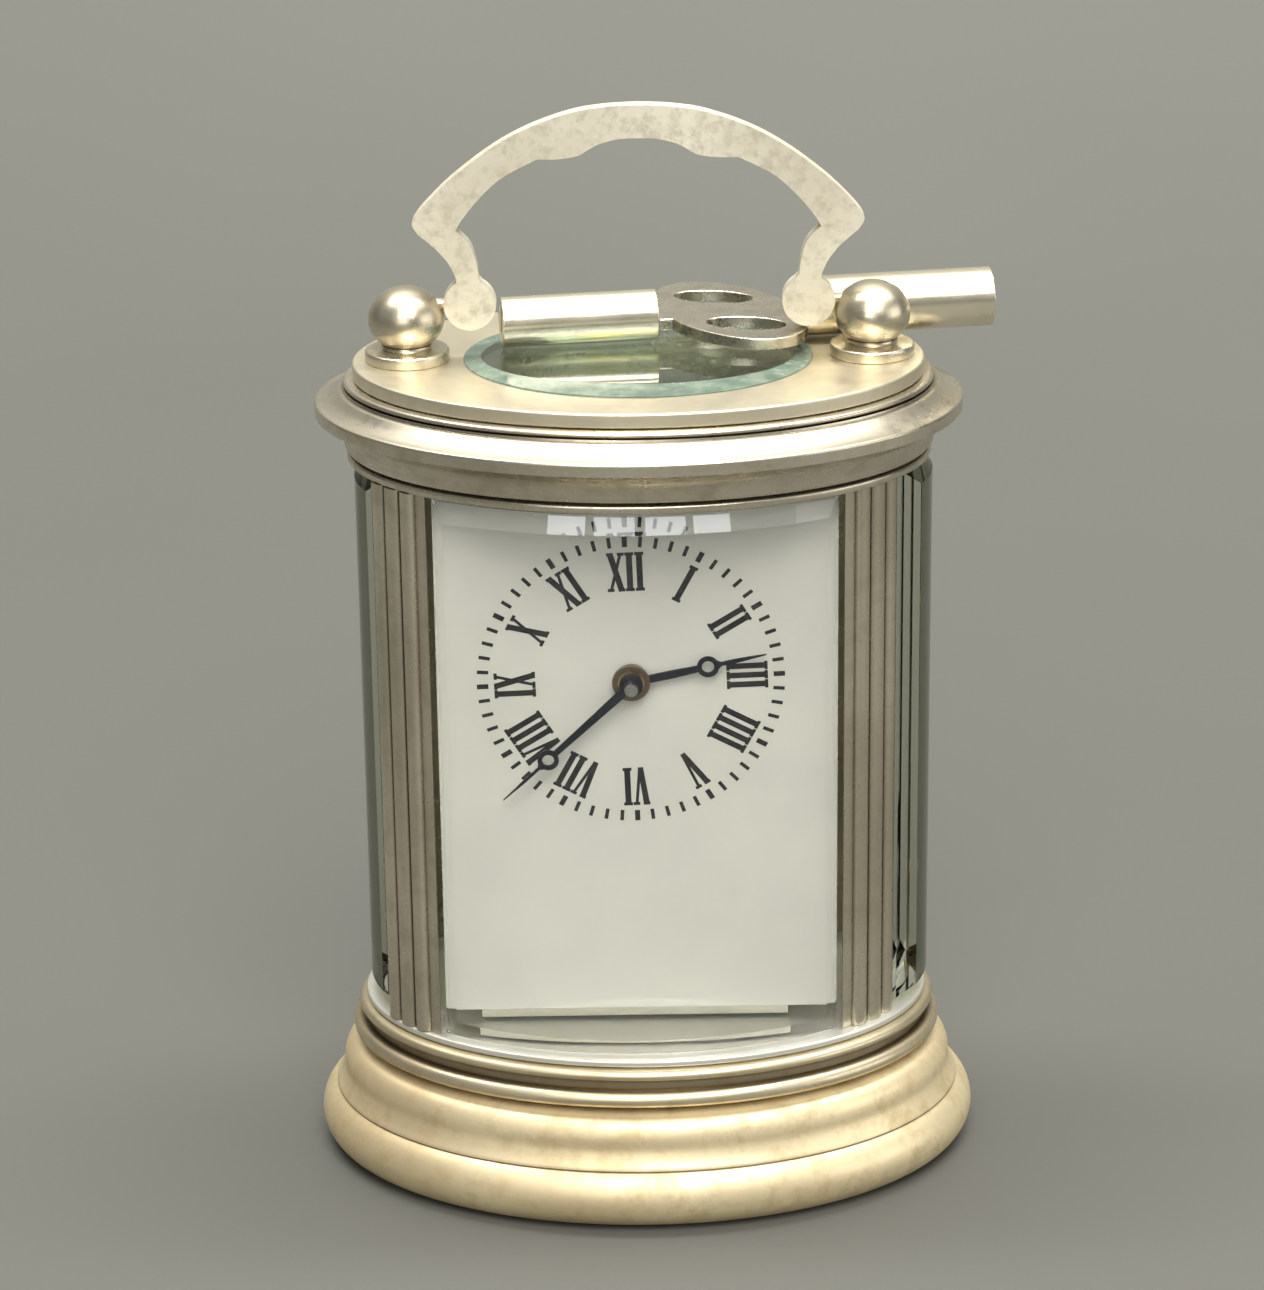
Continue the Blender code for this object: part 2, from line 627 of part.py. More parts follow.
def make_plates():
    pivots = [(THIRD_X, THIRD_Z), (CONTRATE_X, CONTRATE_Z)]
    holes = [(x, z, 0.35 * MM + 2 * RUN) for x, z in pivots]
    front = holes + [(CENTRE_X, CENTRE_Z, 0.6 * MM + 2 * RUN), (BARREL_X, BARREL_Z, 1.0 * MM + 2 * RUN)]
    back = holes + [(CENTRE_X, CENTRE_Z, 0.6 * MM + 2 * RUN), (BARREL_X, BARREL_Z, 1.4 * MM + 2 * RUN)]
    plate = upright_prism(plate_loops(front), FRONT_PLATE_Y, PLATE_THICKNESS)
    stud = turned_along_y(stepped((0.38 * MM, FRONT_PLATE_Y - 1.7 * MM, FRONT_PLATE_Y + 0.5 * MM)),
                          MINUTE_X, MINUTE_Z, 12)
    add_part("movement_front_plate", joined([plate, stud]), "brass")
    add_part("movement_back_plate", upright_prism(plate_loops(back), BACK_PLATE_Y, PLATE_THICKNESS),
             "brass")
    low_y = FRONT_PLATE_Y + PLATE_THICKNESS + 0.02 * MM
    high_y = BACK_PLATE_Y - 0.02 * MM
    for name, side, z in (("pillar_lower_left", -1, 19 * MM), ("pillar_lower_right", 1, 19 * MM),
                          ("pillar_upper_left", -1, 62.5 * MM), ("pillar_upper_right", 1, 62.5 * MM)):
        profile = stepped((1.5 * MM, high_y - MM, high_y), (1.1 * MM, low_y + MM, high_y - MM),
                          (1.5 * MM, low_y, low_y + MM))
        add_part(name, turned_along_y(profile, CENTRE_X + side * 11.8 * MM, z, 12), "brass")


def make_dial():
    outline = rectangle(BODY_X - 18.0 * MM, 17.65 * MM, BODY_X + 18.0 * MM, 67.2 * MM)
    hole = circle(CENTRE_X, CENTRE_Z, 1.5 * MM, 16)
    add_part("dial", upright_prism([outline, hole], DIAL_FRONT_Y, DIAL_BACK_Y - DIAL_FRONT_Y), "enamel")


# ---------------------------------------------------------------- going train


def wheel(teeth, radius, module, centre, phase, front_y, thickness, bore):
    outline = gear_outline(teeth, radius, module, phase, centre)
    return upright_prism([outline, circle(*centre, bore, 12)], front_y, thickness)


def pinion(teeth, radius, module, centre, phase, front_y, length):
    return upright_prism([gear_outline(teeth, radius, module, phase, centre)], front_y, length)


def make_barrel():
    centre = (BARREL_X, BARREL_Z)
    origin = (BARREL_X, 0, BARREL_Z)
    back = 0.8 * MM
    outline = gear_outline(BARREL_TEETH, BARREL_RADIUS, BARREL_MODULE, math.pi / 2, centre)
    great_wheel = upright_prism([outline, circle(*centre, 1.0 * MM + RUN, 12)], -0.4 * MM, 1.2 * MM)
    wall = upright_prism([circle(*centre, 9.4 * MM, 24), circle(*centre, 8.6 * MM, 24)], -6.4 * MM, 6.2 * MM)
    add_part("barrel", joined([great_wheel, wall]), "brass", origin)
    lid = upright_prism([circle(*centre, 8.4 * MM, 24), circle(*centre, 1.0 * MM + RUN, 12)],
                        -6.4 * MM, 0.6 * MM)
    add_part("barrel_lid", lid, "brass", origin)
    make_mainspring(centre, origin)
    arbor = turned_along_y(stepped((0.9 * MM, back + 0.3 * MM, BACK_PLATE_Y + 1.6 * MM),
                                   (0.95 * MM, -5.0 * MM, back + 0.3 * MM),
                                   (0.9 * MM, FRONT_PLATE_Y + 0.1 * MM, -5.0 * MM)), *centre)
    square = upright_prism([circle(*centre, 1.25 * MM, 4, math.radians(45))], BACK_PLATE_Y + 1.4 * MM,
                           4.6 * MM)
    add_part("winding_arbor", joined([arbor, square]), "steel", origin)
    ratchet = ratchet_outline(centre)
    add_part("ratchet_wheel",
             upright_prism([ratchet, circle(*centre, 1.3 * MM, 12)], RATCHET_Y, RATCHET_THICKNESS),
             "steel", origin)


def make_mainspring(centre, origin):
    """A spiral strip whose ends stay clear of the arbor and the barrel wall."""
    turns = 6
    per_turn = 12
    inner = 2.2 * MM
    outer = 7.9 * MM
    half = 0.11 * MM
    sides = ([], [])
    for i in range(turns * per_turn + 1):
        angle = 2 * math.pi * i / per_turn
        radius = inner + (outer - inner) * i / (turns * per_turn)
        for side, offset in zip(sides, (-half, half)):
            side.append((centre[0] + (radius + offset) * math.cos(angle),
                         centre[1] + (radius + offset) * math.sin(angle)))
    outline = sides[0] + sides[1][::-1]
    add_part("mainspring", upright_prism([outline], -5.6 * MM, 4.9 * MM), "steel", origin)


def ratchet_outline(centre):
    """Saw teeth with their steep faces trailing, so the arbor winds one way."""
    pitch = 2 * math.pi / RATCHET_TEETH
    points = []
    for i in range(RATCHET_TEETH):
        start = i * pitch
        for angle, reach in ((start + 0.02, RATCHET_ROOT), (start + 0.93 * pitch, RATCHET_TIP)):
            points.append((centre[0] + reach * math.cos(angle), centre[1] + reach * math.sin(angle)))
    return points


def make_click():
    """A pivoted pawl whose nose lies in the gap behind a ratchet tooth, with its leaf spring."""
    pivot_x = BARREL_X + 6.6 * MM
    pivot_z = BARREL_Z + 2.0 * MM
    origin = (pivot_x, 0, pivot_z)
    pitch = 2 * math.pi / RATCHET_TEETH
    angle = 2 * pitch + 0.20 * pitch
    nose = (BARREL_X + (RATCHET_ROOT + 0.32 * MM) * math.cos(angle),
            BARREL_Z + (RATCHET_ROOT + 0.32 * MM) * math.sin(angle))
    outline = [nose, (pivot_x - 1.0 * MM, pivot_z - 0.6 * MM)]
    for i in range(7):
        turn = math.radians(-135 + 240 * i / 6)
        outline.append((pivot_x + 1.2 * MM * math.cos(turn), pivot_z + 1.2 * MM * math.sin(turn)))
    outline.append((pivot_x - 1.3 * MM, pivot_z + 1.0 * MM))
    bore = circle(pivot_x, pivot_z, 0.5 * MM + RUN, 12)
    add_part("click", upright_prism([outline, bore], RATCHET_Y, RATCHET_THICKNESS), "steel", origin)
    screw = turned_along_y(stepped((0.9 * MM, RATCHET_Y + RATCHET_THICKNESS + 0.06 * MM,
                                    RATCHET_Y + RATCHET_THICKNESS + 0.5 * MM),
                                   (0.45 * MM, BACK_PLATE_Y + PLATE_THICKNESS + 0.02 * MM,
                                    RATCHET_Y + RATCHET_THICKNESS + 0.06 * MM)), pivot_x, pivot_z, 12)
    add_part("click_screw", screw, "steel")
    spring = [(pivot_x - 1.4 * MM, pivot_z + 1.25 * MM), (pivot_x - 1.4 * MM, pivot_z + 1.5 * MM),
              (pivot_x - 3.4 * MM, pivot_z + 5.6 * MM), (pivot_x - 2.0 * MM, pivot_z + 6.4 * MM),
              (pivot_x - 1.4 * MM, pivot_z + 5.6 * MM), (pivot_x - 2.9 * MM, pivot_z + 5.2 * MM)]
    add_part("click_spring", upright_prism([spring], RATCHET_Y, RATCHET_THICKNESS), "steel")


def make_centre():
    centre = (CENTRE_X, CENTRE_Z)
    origin = (CENTRE_X, 0, CENTRE_Z)
    shaft = turned_along_y(stepped((0.6 * MM, FRONT_PLATE_Y - 5.2 * MM, BACK_PLATE_Y + 1.8 * MM)), *centre)
    leaves = pinion(CENTRE_PINION_TEETH, CENTRE_PINION_RADIUS, BARREL_MODULE, centre,
                    -math.pi / 2 + math.pi / CENTRE_PINION_TEETH, -0.6 * MM, 1.6 * MM)
    square = upright_prism([circle(*centre, 0.95 * MM, 4, math.radians(45))], BACK_PLATE_Y + 1.6 * MM,
                           3.6 * MM)
    add_part("centre_arbor", joined([shaft, leaves, square]), "steel", origin)
    add_part("centre_wheel", wheel(CENTRE_TEETH, CENTRE_RADIUS, CENTRE_MODULE, centre, THIRD_ANGLE,
                                   1.4 * MM, 0.8 * MM, 0.63 * MM), "brass", origin)
    cannon = upright_prism([gear_outline(CANNON_TEETH, CANNON_TEETH * MINUTE_MODULE / 2, MINUTE_MODULE,
                                         math.pi, centre), circle(*centre, 0.63 * MM, 12)],
                           FRONT_PLATE_Y - 0.9 * MM, 0.6 * MM)
    add_part("cannon_pinion", cannon, "steel", origin)


def make_third():
    centre = (THIRD_X, THIRD_Z)
    origin = (THIRD_X, 0, THIRD_Z)
    low = FRONT_PLATE_Y + 0.1 * MM
    high = BACK_PLATE_Y + PLATE_THICKNESS - 0.1 * MM
    shaft = turned_along_y(stepped((0.35 * MM, BACK_PLATE_Y - 0.2 * MM, high),
                                   (0.5 * MM, low + 1.3 * MM, BACK_PLATE_Y - 0.2 * MM),
                                   (0.35 * MM, low, low + 1.3 * MM)), *centre, 12)
    leaves = pinion(THIRD_PINION_TEETH, THIRD_PINION_RADIUS, CENTRE_MODULE, centre,
                    THIRD_ANGLE + math.pi + math.pi / THIRD_PINION_TEETH, 1.1 * MM, 1.4 * MM)
    add_part("third_arbor", joined([shaft, leaves]), "steel", origin)
    toward = math.atan2(CONTRATE_Z - THIRD_Z, CONTRATE_X - THIRD_X)
    add_part("third_wheel", wheel(THIRD_TEETH, THIRD_RADIUS, THIRD_MODULE, centre, toward,
                                  -3.7 * MM, 0.7 * MM, 0.53 * MM), "brass", origin)


def crown_wheel(centre, front_y, rim_depth, tooth_depth, web):
    """A disc whose rim carries teeth that point to the front."""
    steps = CONTRATE_TEETH * 2
    inner = CONTRATE_RADIUS - 0.4 * MM
    outer = CONTRATE_RADIUS + 0.4 * MM
    bore = 0.53 * MM
    back = front_y + tooth_depth + rim_depth
    builder = bmesh.new()
    rings = []
    for i in range(steps):
        angle = math.pi / 2 + 2 * math.pi * i / steps
        tip = front_y if i % 2 == 1 else front_y + tooth_depth
        section = ((bore, back), (outer, back), (outer, tip), (inner, tip), (inner, back - web),
                   (bore, back - web))
        rings.append([builder.verts.new((centre[0] + r * math.cos(angle), y, centre[1] + r * math.sin(angle)))
                      for r, y in section])
    for i in range(steps):
        here = rings[i]
        there = rings[(i + 1) % steps]
        for k in range(len(here)):
            n = (k + 1) % len(here)
            builder.faces.new((here[k], here[n], there[n], there[k]))
    return mesh_from(builder)


def make_contrate():
    centre = (CONTRATE_X, CONTRATE_Z)
    origin = (CONTRATE_X, 0, CONTRATE_Z)
    low = FRONT_PLATE_Y + 0.1 * MM
    high = BACK_PLATE_Y + PLATE_THICKNESS - 0.1 * MM
    shaft = turned_along_y(stepped((0.35 * MM, BACK_PLATE_Y - 0.2 * MM, high),
                                   (0.5 * MM, low + 1.3 * MM, BACK_PLATE_Y - 0.2 * MM),
                                   (0.35 * MM, low, low + 1.3 * MM)), *centre, 12)
    away = math.atan2(THIRD_Z - CONTRATE_Z, THIRD_X - CONTRATE_X)
    leaves = pinion(CONTRATE_PINION_TEETH, CONTRATE_PINION_RADIUS, THIRD_MODULE, centre,
                    away + math.pi / CONTRATE_PINION_TEETH, -4.0 * MM, 1.3 * MM)
    add_part("contrate_arbor", joined([shaft, leaves]), "steel", origin)
    add_part("contrate_wheel", crown_wheel(centre, CROWN_FRONT_Y, 1.0 * MM, 0.8 * MM, 0.6 * MM), "brass",
             origin)


def make_motion_work():
    centre = (CENTRE_X, CENTRE_Z)
    minute = (MINUTE_X, MINUTE_Z)
    origin = (MINUTE_X, 0, MINUTE_Z)
    front = FRONT_PLATE_Y - 0.9 * MM
    big = wheel(MINUTE_TEETH, MINUTE_TEETH * MINUTE_MODULE / 2, MINUTE_MODULE, minute,
                math.pi / MINUTE_TEETH, front, 0.5 * MM, 0.45 * MM)
    small = wheel(MINUTE_PINION_TEETH, MINUTE_PINION_TEETH * HOUR_MODULE / 2, HOUR_MODULE, minute,
                  math.pi / MINUTE_PINION_TEETH, front - 0.7 * MM, 0.8 * MM, 0.45 * MM)
    add_part("minute_wheel", joined([big, small]), "brass", origin)
    hour = wheel(HOUR_TEETH, HOUR_TEETH * HOUR_MODULE / 2, HOUR_MODULE, centre, math.pi,
                 front - 0.6 * MM, 0.4 * MM, 0.75 * MM)
    pipe = upright_prism([circle(*centre, 1.2 * MM), circle(*centre, 0.75 * MM, 12)],
                         DIAL_FRONT_Y - 0.9 * MM, -DIAL_FRONT_Y + 0.9 * MM + front - 0.3 * MM)
    add_part("hour_wheel", joined([hour, pipe]), "brass", (CENTRE_X, 0, CENTRE_Z))


def hand_outline(ring_radius, ring_from, tip_from, waist, eye):
    """Half-width stations of a hand along its length, from the boss to the tip, with its ring."""
    ring = [(ring_from + ring_radius * math.cos(t), ring_radius * math.sin(t))
            for t in [math.radians(165 - 150 * i / 6) for i in range(7)]]
    side = [(0.9 * MM, eye), (ring_from - ring_radius - 0.2 * MM, waist)] + ring
    side += [(ring_from + ring_radius + 0.5 * MM, waist * 1.4), (tip_from, 0.0)]
    mirrored = [(x, -y) for x, y in reversed(side[:-1])]
    return side + mirrored


def make_hand(name, angle, front_y, length, ring_at, ring_radius, boss_radius, bore):
    """A blued hand with a pierced ring; angle is clockwise from twelve, seen from the front."""
    blade = upright_prism([hand_outline(ring_radius, ring_at, length, 0.28 * MM, 0.35 * MM),
                           circle(ring_at, 0, ring_radius * 0.5, 10)], front_y, 0.25 * MM)
    boss = upright_prism([circle(0, 0, boss_radius, 16)], front_y - 0.02 * MM, 0.3 * MM)
    hand = joined([blade, boss])
    hand = drilled(hand, [turned_along_y([(0, MM + front_y), (bore, MM + front_y), (bore, front_y - MM),
                                          (0, front_y - MM)], 0, 0, 12)])
    hand.transform(Matrix.Translation((CENTRE_X, 0, CENTRE_Z)) @ Matrix.Rotation(angle - math.pi / 2, 4, "Y"))
    add_part(name, hand, "blued", (CENTRE_X, 0, CENTRE_Z))


def make_hands():
    make_hand("hour_hand", math.radians(78), DIAL_FRONT_Y - 0.85 * MM, 12.0 * MM, 6.9 * MM, 1.15 * MM,
              1.75 * MM, 1.22 * MM)
    make_hand("minute_hand", math.radians(226.5), DIAL_FRONT_Y - 1.5 * MM, 15.8 * MM, 10.2 * MM, 0.95 * MM,
              1.15 * MM, 0.63 * MM)


# ---------------------------------------------------------------- platform escapement


def make_platform():
    plate = rectangle(ESCAPE_X - 6 * MM, FRONT_PLATE_Y, BALANCE_X + 7.5 * MM, BACK_PLATE_Y + 1.2 * MM)
    holes = [circle(ESCAPE_X, ESCAPE_Y, 1.3 * MM, 16), circle(LEVER_X, LEVER_Y, 0.3 * MM, 10),
             circle(BALANCE_X, BALANCE_Y, 0.3 * MM, 10)]
    deck = prism([plate] + holes, PLATFORM_BOTTOM, PLATFORM_TOP - PLATFORM_BOTTOM)
    stem_y = ESCAPE_Y - 2.0 * MM
    stem = prism([rectangle(ESCAPE_X - MM, stem_y - 0.5 * MM, ESCAPE_X + MM, stem_y + 0.5 * MM)],
                 62.0 * MM, PLATFORM_BOTTOM + 0.3 * MM - 62.0 * MM)
    foot = prism([rectangle(ESCAPE_X - MM, stem_y - 0.5 * MM, ESCAPE_X + MM, ESCAPE_Y + 0.75 * MM)],
                 62.0 * MM, 0.8 * MM)
    hole = rod(ESCAPE_X, ESCAPE_Y, 0.25 * MM, 61 * MM, 63.5 * MM, 10)
    add_part("platform", drilled(joined([deck, stem, foot]), [hole]), "brass")


def cock(name, arm, foot, top_z, thickness, pivots):
    """A bridge: a column at its foot and an arm over the pivots."""
    column = rod(foot[0], foot[1], foot[2], PLATFORM_TOP + 0.02 * MM, top_z + 0.1 * MM, 16)
    bar = prism([arm] + [circle(x, y, 0.22 * MM, 10) for x, y in pivots], top_z, thickness)
    add_part(name, joined([column, bar]), "brass")


def line_point(along, across):
    """A point on the platform, along the line of escape wheel, lever and balance, and across it."""
    side = Vector((-ESCAPE_LINE.y, ESCAPE_LINE.x))
    point = Vector((ESCAPE_X, ESCAPE_Y)) + ESCAPE_LINE * along + side * across
    return (point.x, point.y)


def make_escapement():
    origin = (ESCAPE_X, ESCAPE_Y, 0)
    top_pivot = ESCAPE_WHEEL_Z + 1.5 * MM
    shaft = turned(stepped((0.18 * MM, ESCAPE_WHEEL_Z + 0.9 * MM, top_pivot),
                           (0.35 * MM, 63.0 * MM, ESCAPE_WHEEL_Z + 0.9 * MM),
                           (0.18 * MM, 62.1 * MM, 63.0 * MM)), 12)
    shaft.transform(Matrix.Translation((ESCAPE_X, ESCAPE_Y, 0)))
    leaves = prism([gear_outline(ESCAPE_PINION_TEETH, ESCAPE_PINION_RADIUS, 0.24 * MM,
                                 math.pi / 2, (ESCAPE_X, ESCAPE_Y))],
                   CONTRATE_Z + CONTRATE_RADIUS - 1.1 * MM, 2.0 * MM)
    toward = math.atan2(ESCAPE_LINE.y, ESCAPE_LINE.x)
    teeth = []
    pitch = 2 * math.pi / ESCAPE_TEETH
    for i in range(ESCAPE_TEETH):
        middle = toward + i * pitch
        for angle, reach in ((middle - 0.32 * pitch, 0.80), (middle, 1.0), (middle + 0.08 * pitch, 0.80)):
            teeth.append((ESCAPE_X + reach * ESCAPE_RADIUS * math.cos(angle),
                          ESCAPE_Y + reach * ESCAPE_RADIUS * math.sin(angle)))
    rim = prism([teeth], ESCAPE_WHEEL_Z, 0.35 * MM)
    add_part("escape_wheel", joined([rim, shaft, leaves]), "brass", origin)
    pallet = math.radians(36)
    reach = ESCAPE_RADIUS + 0.3 * MM
    tip_a = (reach * math.cos(pallet), reach * math.sin(pallet))
    points = [(tip_a[0] + 0.1 * MM, tip_a[1] - 0.15 * MM), (3.6 * MM, 0.9 * MM), (3.6 * MM, -0.9 * MM),
              (tip_a[0] + 0.1 * MM, 0.15 * MM - tip_a[1]), (tip_a[0] + 0.1 * MM, -0.2 * MM - tip_a[1]),
              (4.2 * MM, -2.4 * MM), (5.0 * MM, -0.6 * MM), (7.6 * MM, -0.35 * MM), (8.3 * MM, -0.7 * MM),
              (8.5 * MM, -0.35 * MM), (7.9 * MM, 0.0), (8.5 * MM, 0.35 * MM), (8.3 * MM, 0.7 * MM),
              (7.6 * MM, 0.35 * MM), (5.0 * MM, 0.6 * MM), (4.2 * MM, 2.4 * MM),
              (tip_a[0] + 0.1 * MM, tip_a[1] + 0.2 * MM)]
    outline = [line_point(*point) for point in points]
    lever_origin = (LEVER_X, LEVER_Y, 0)
    anchor = prism([outline], ESCAPE_WHEEL_Z, 0.35 * MM)
    staff = turned(stepped((0.18 * MM, PLATFORM_BOTTOM + 0.2 * MM, top_pivot)), 10)
    staff.transform(Matrix.Translation((LEVER_X, LEVER_Y, 0)))
    add_part("lever", joined([anchor, staff]), "steel", lever_origin)
    bridge_z = ESCAPE_WHEEL_Z + 0.95 * MM
    arm = [line_point(-0.9 * MM, -0.9 * MM), line_point(5.2 * MM, -0.9 * MM),
           line_point(5.2 * MM, 0.9 * MM), line_point(1.2 * MM, 0.9 * MM),
           line_point(0.9 * MM, 4.6 * MM), line_point(-0.9 * MM, 4.6 * MM)]
    foot = line_point(0.0, 3.9 * MM)
    cock("escape_cock", arm, (foot[0], foot[1], 0.7 * MM), bridge_z, 0.5 * MM,
         [(ESCAPE_X, ESCAPE_Y), (LEVER_X, LEVER_Y)])


def make_balance():
    origin = (BALANCE_X, BALANCE_Y, 0)
    centre = (BALANCE_X, BALANCE_Y)
    arm = rectangle(-BALANCE_RADIUS + 0.4 * MM, -0.4 * MM, BALANCE_RADIUS - 0.4 * MM, 0.4 * MM)
    spoke = prism([arm], 0.0, 0.3 * MM)
    rim = prism([circle(0, 0, BALANCE_RADIUS, 32), circle(0, 0, BALANCE_RADIUS - 0.65 * MM, 32)], -0.1 * MM,
                0.6 * MM)
    hub = prism([circle(0, 0, 0.7 * MM, 12)], -0.1 * MM, 0.5 * MM)
    balance = joined([rim, spoke, hub])
    balance.transform(Matrix.Translation((BALANCE_X, BALANCE_Y, BALANCE_Z)) @ Matrix.Rotation(0.5, 4, "Z"))
    cock_z = BALANCE_Z + 1.7 * MM
    staff = turned(stepped((0.17 * MM, BALANCE_Z + 1.4 * MM, cock_z + 0.5 * MM),
                           (0.28 * MM, BALANCE_Z - 1.7 * MM, BALANCE_Z + 1.4 * MM),
                           (0.17 * MM, PLATFORM_BOTTOM + 0.2 * MM, BALANCE_Z - 1.7 * MM)), 10)
    staff.transform(Matrix.Translation((BALANCE_X, BALANCE_Y, 0)))
    roller = rod(*centre, 0.55 * MM, BALANCE_Z - 0.9 * MM, BALANCE_Z - 0.6 * MM, 12)
    add_part("balance_wheel", joined([balance, staff, roller]), "brass", origin)
    make_hairspring(origin)
    arm = [(BALANCE_X - 0.9 * MM, BALANCE_Y - 0.9 * MM), (BALANCE_X + 5.0 * MM, BALANCE_Y - 1.3 * MM),
           (BALANCE_X + 6.6 * MM, BALANCE_Y - 1.3 * MM), (BALANCE_X + 6.6 * MM, BALANCE_Y + 1.3 * MM),
           (BALANCE_X + 5.0 * MM, BALANCE_Y + 1.3 * MM), (BALANCE_X - 0.9 * MM, BALANCE_Y + 0.9 * MM)]
    cock("balance_cock", arm, (BALANCE_X + 5.85 * MM, BALANCE_Y, 0.8 * MM), cock_z, 0.6 * MM, [centre])


def make_hairspring(origin):
    """A flat spiral between the balance staff and the cock."""
    curve = bpy.data.curves.new("hairspring", "CURVE")
    curve.dimensions = "3D"
    curve.bevel_depth = 0.06 * MM
    curve.bevel_resolution = 0
    curve.use_fill_caps = True
    turns = 5
    per_turn = 10
    spline = curve.splines.new("POLY")
    spline.points.add(turns * per_turn)
    for i, point in enumerate(spline.points):
        angle = 2 * math.pi * i / per_turn
        radius = (0.6 + 2.4 * i / (turns * per_turn)) * MM
        point.co = (BALANCE_X + radius * math.cos(angle), BALANCE_Y + radius * math.sin(angle),
                    BALANCE_Z + 1.1 * MM, 1.0)
    item = bpy.data.objects.new("spiral", curve)
    PARTS.objects.link(item)
    add_part("hairspring", baked(item), "blued", origin)


clear_scene()
PARTS = new_collection("carriage_clock")
CUTTERS = new_collection("cutters")
make_base()
make_cornice()
make_top()
make_glasses()
make_pilasters()
make_finials()
make_handle()
make_key()
make_door()
make_plates()
make_dial()
make_barrel()
make_click()
make_centre()
make_third()
make_contrate()
make_motion_work()
make_hands()
make_platform()
make_escapement()
make_balance()
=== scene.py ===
import json
import math

import bmesh
import bpy
from mathutils import Matrix, Vector


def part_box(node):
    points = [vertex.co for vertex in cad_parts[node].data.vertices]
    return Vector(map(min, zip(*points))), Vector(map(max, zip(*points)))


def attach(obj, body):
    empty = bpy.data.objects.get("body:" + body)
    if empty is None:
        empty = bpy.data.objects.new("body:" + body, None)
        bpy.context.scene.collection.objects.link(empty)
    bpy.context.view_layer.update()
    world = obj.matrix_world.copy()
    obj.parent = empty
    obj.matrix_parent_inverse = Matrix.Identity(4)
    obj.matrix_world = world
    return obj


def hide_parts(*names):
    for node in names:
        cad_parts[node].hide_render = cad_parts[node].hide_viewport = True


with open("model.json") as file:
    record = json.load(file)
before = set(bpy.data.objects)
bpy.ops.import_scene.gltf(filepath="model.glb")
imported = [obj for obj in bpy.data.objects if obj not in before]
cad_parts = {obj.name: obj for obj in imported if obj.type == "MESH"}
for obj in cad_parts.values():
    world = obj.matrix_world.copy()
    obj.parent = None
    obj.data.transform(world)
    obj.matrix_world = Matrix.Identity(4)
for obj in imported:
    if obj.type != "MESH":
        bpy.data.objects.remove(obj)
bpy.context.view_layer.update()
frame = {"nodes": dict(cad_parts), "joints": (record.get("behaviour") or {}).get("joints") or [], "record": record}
NODES = frame["nodes"]

MM = 0.001
SEGMENTS = 192          # facets round the oval case
ROUND = 64              # facets round a turned part
OVAL_DELTA = 8.0        # half width less half depth of every case oval, in mm
SLOT_OF = {row["node"]: row["material_slot"] for row in frame["record"]["subparts"]}
BODY_OF = {node: body for body, members in frame["record"]["behaviour"]["bodies"].items() for node in members}


# ---------------------------------------------------------------- materials


class Nodes:
    """A material under construction: its node tree and its Principled shader."""

    def __init__(self, name):
        self.material = bpy.data.materials.new(name)
        self.material.use_nodes = True
        self.tree = self.material.node_tree
        self.shader = self.tree.nodes["Principled BSDF"]
        self.coordinates = self.tree.nodes.new("ShaderNodeTexCoord").outputs["Object"]

    def link(self, source, target):
        self.tree.links.new(source, target)

    def noise(self, scale, detail=4.0, roughness=0.55, stretch=(1, 1, 1)):
        mapping = self.tree.nodes.new("ShaderNodeMapping")
        mapping.inputs["Scale"].default_value = stretch
        self.link(self.coordinates, mapping.inputs["Vector"])
        noise = self.tree.nodes.new("ShaderNodeTexNoise")
        noise.inputs["Scale"].default_value = scale
        noise.inputs["Detail"].default_value = detail
        noise.inputs["Roughness"].default_value = roughness
        self.link(mapping.outputs["Vector"], noise.inputs["Vector"])
        return noise.outputs["Fac"]

    def ramp(self, value, low, high, to_low=0.0, to_high=1.0):
        node = self.tree.nodes.new("ShaderNodeMapRange")
        node.interpolation_type = "SMOOTHSTEP"
        node.inputs["From Min"].default_value = low
        node.inputs["From Max"].default_value = high
        node.inputs["To Min"].default_value = to_low
        node.inputs["To Max"].default_value = to_high
        self.link(value, node.inputs["Value"])
        return node.outputs["Result"]

    def colour_mix(self, factor, first, second, blend="MIX"):
        node = self.tree.nodes.new("ShaderNodeMix")
        node.data_type = "RGBA"
        node.blend_type = blend
        if isinstance(factor, float):
            node.inputs["Factor"].default_value = factor
        else:
            self.link(factor, node.inputs["Factor"])
        for socket, value in ((node.inputs["A"], first), (node.inputs["B"], second)):
            if isinstance(value, tuple):
                socket.default_value = (*value, 1.0)
            else:
                self.link(value, socket)
        return node.outputs["Result"]

    def sum(self, first, second, share):
        """first plus second times share."""
        node = self.tree.nodes.new("ShaderNodeMath")
        node.operation = "MULTIPLY_ADD"
        self.link(second, node.inputs[0])
        node.inputs[1].default_value = share
        self.link(first, node.inputs[2])
        return node.outputs["Value"]

    def crevice(self, distance):
        """1 on open surfaces, falling to 0 in grooves narrower than distance."""
        node = self.tree.nodes.new("ShaderNodeAmbientOcclusion")
        node.samples = 6
        node.only_local = True
        node.inputs["Distance"].default_value = distance
        return node.outputs["AO"]

    def bump(self, height, strength, distance):
        node = self.tree.nodes.new("ShaderNodeBump")
        node.inputs["Strength"].default_value = strength
        node.inputs["Distance"].default_value = distance
        self.link(height, node.inputs["Height"])
        self.link(node.outputs["Normal"], self.shader.inputs["Normal"])

    def set(self, **values):
        for name, value in values.items():
            self.shader.inputs[name.replace("_", " ")].default_value = value


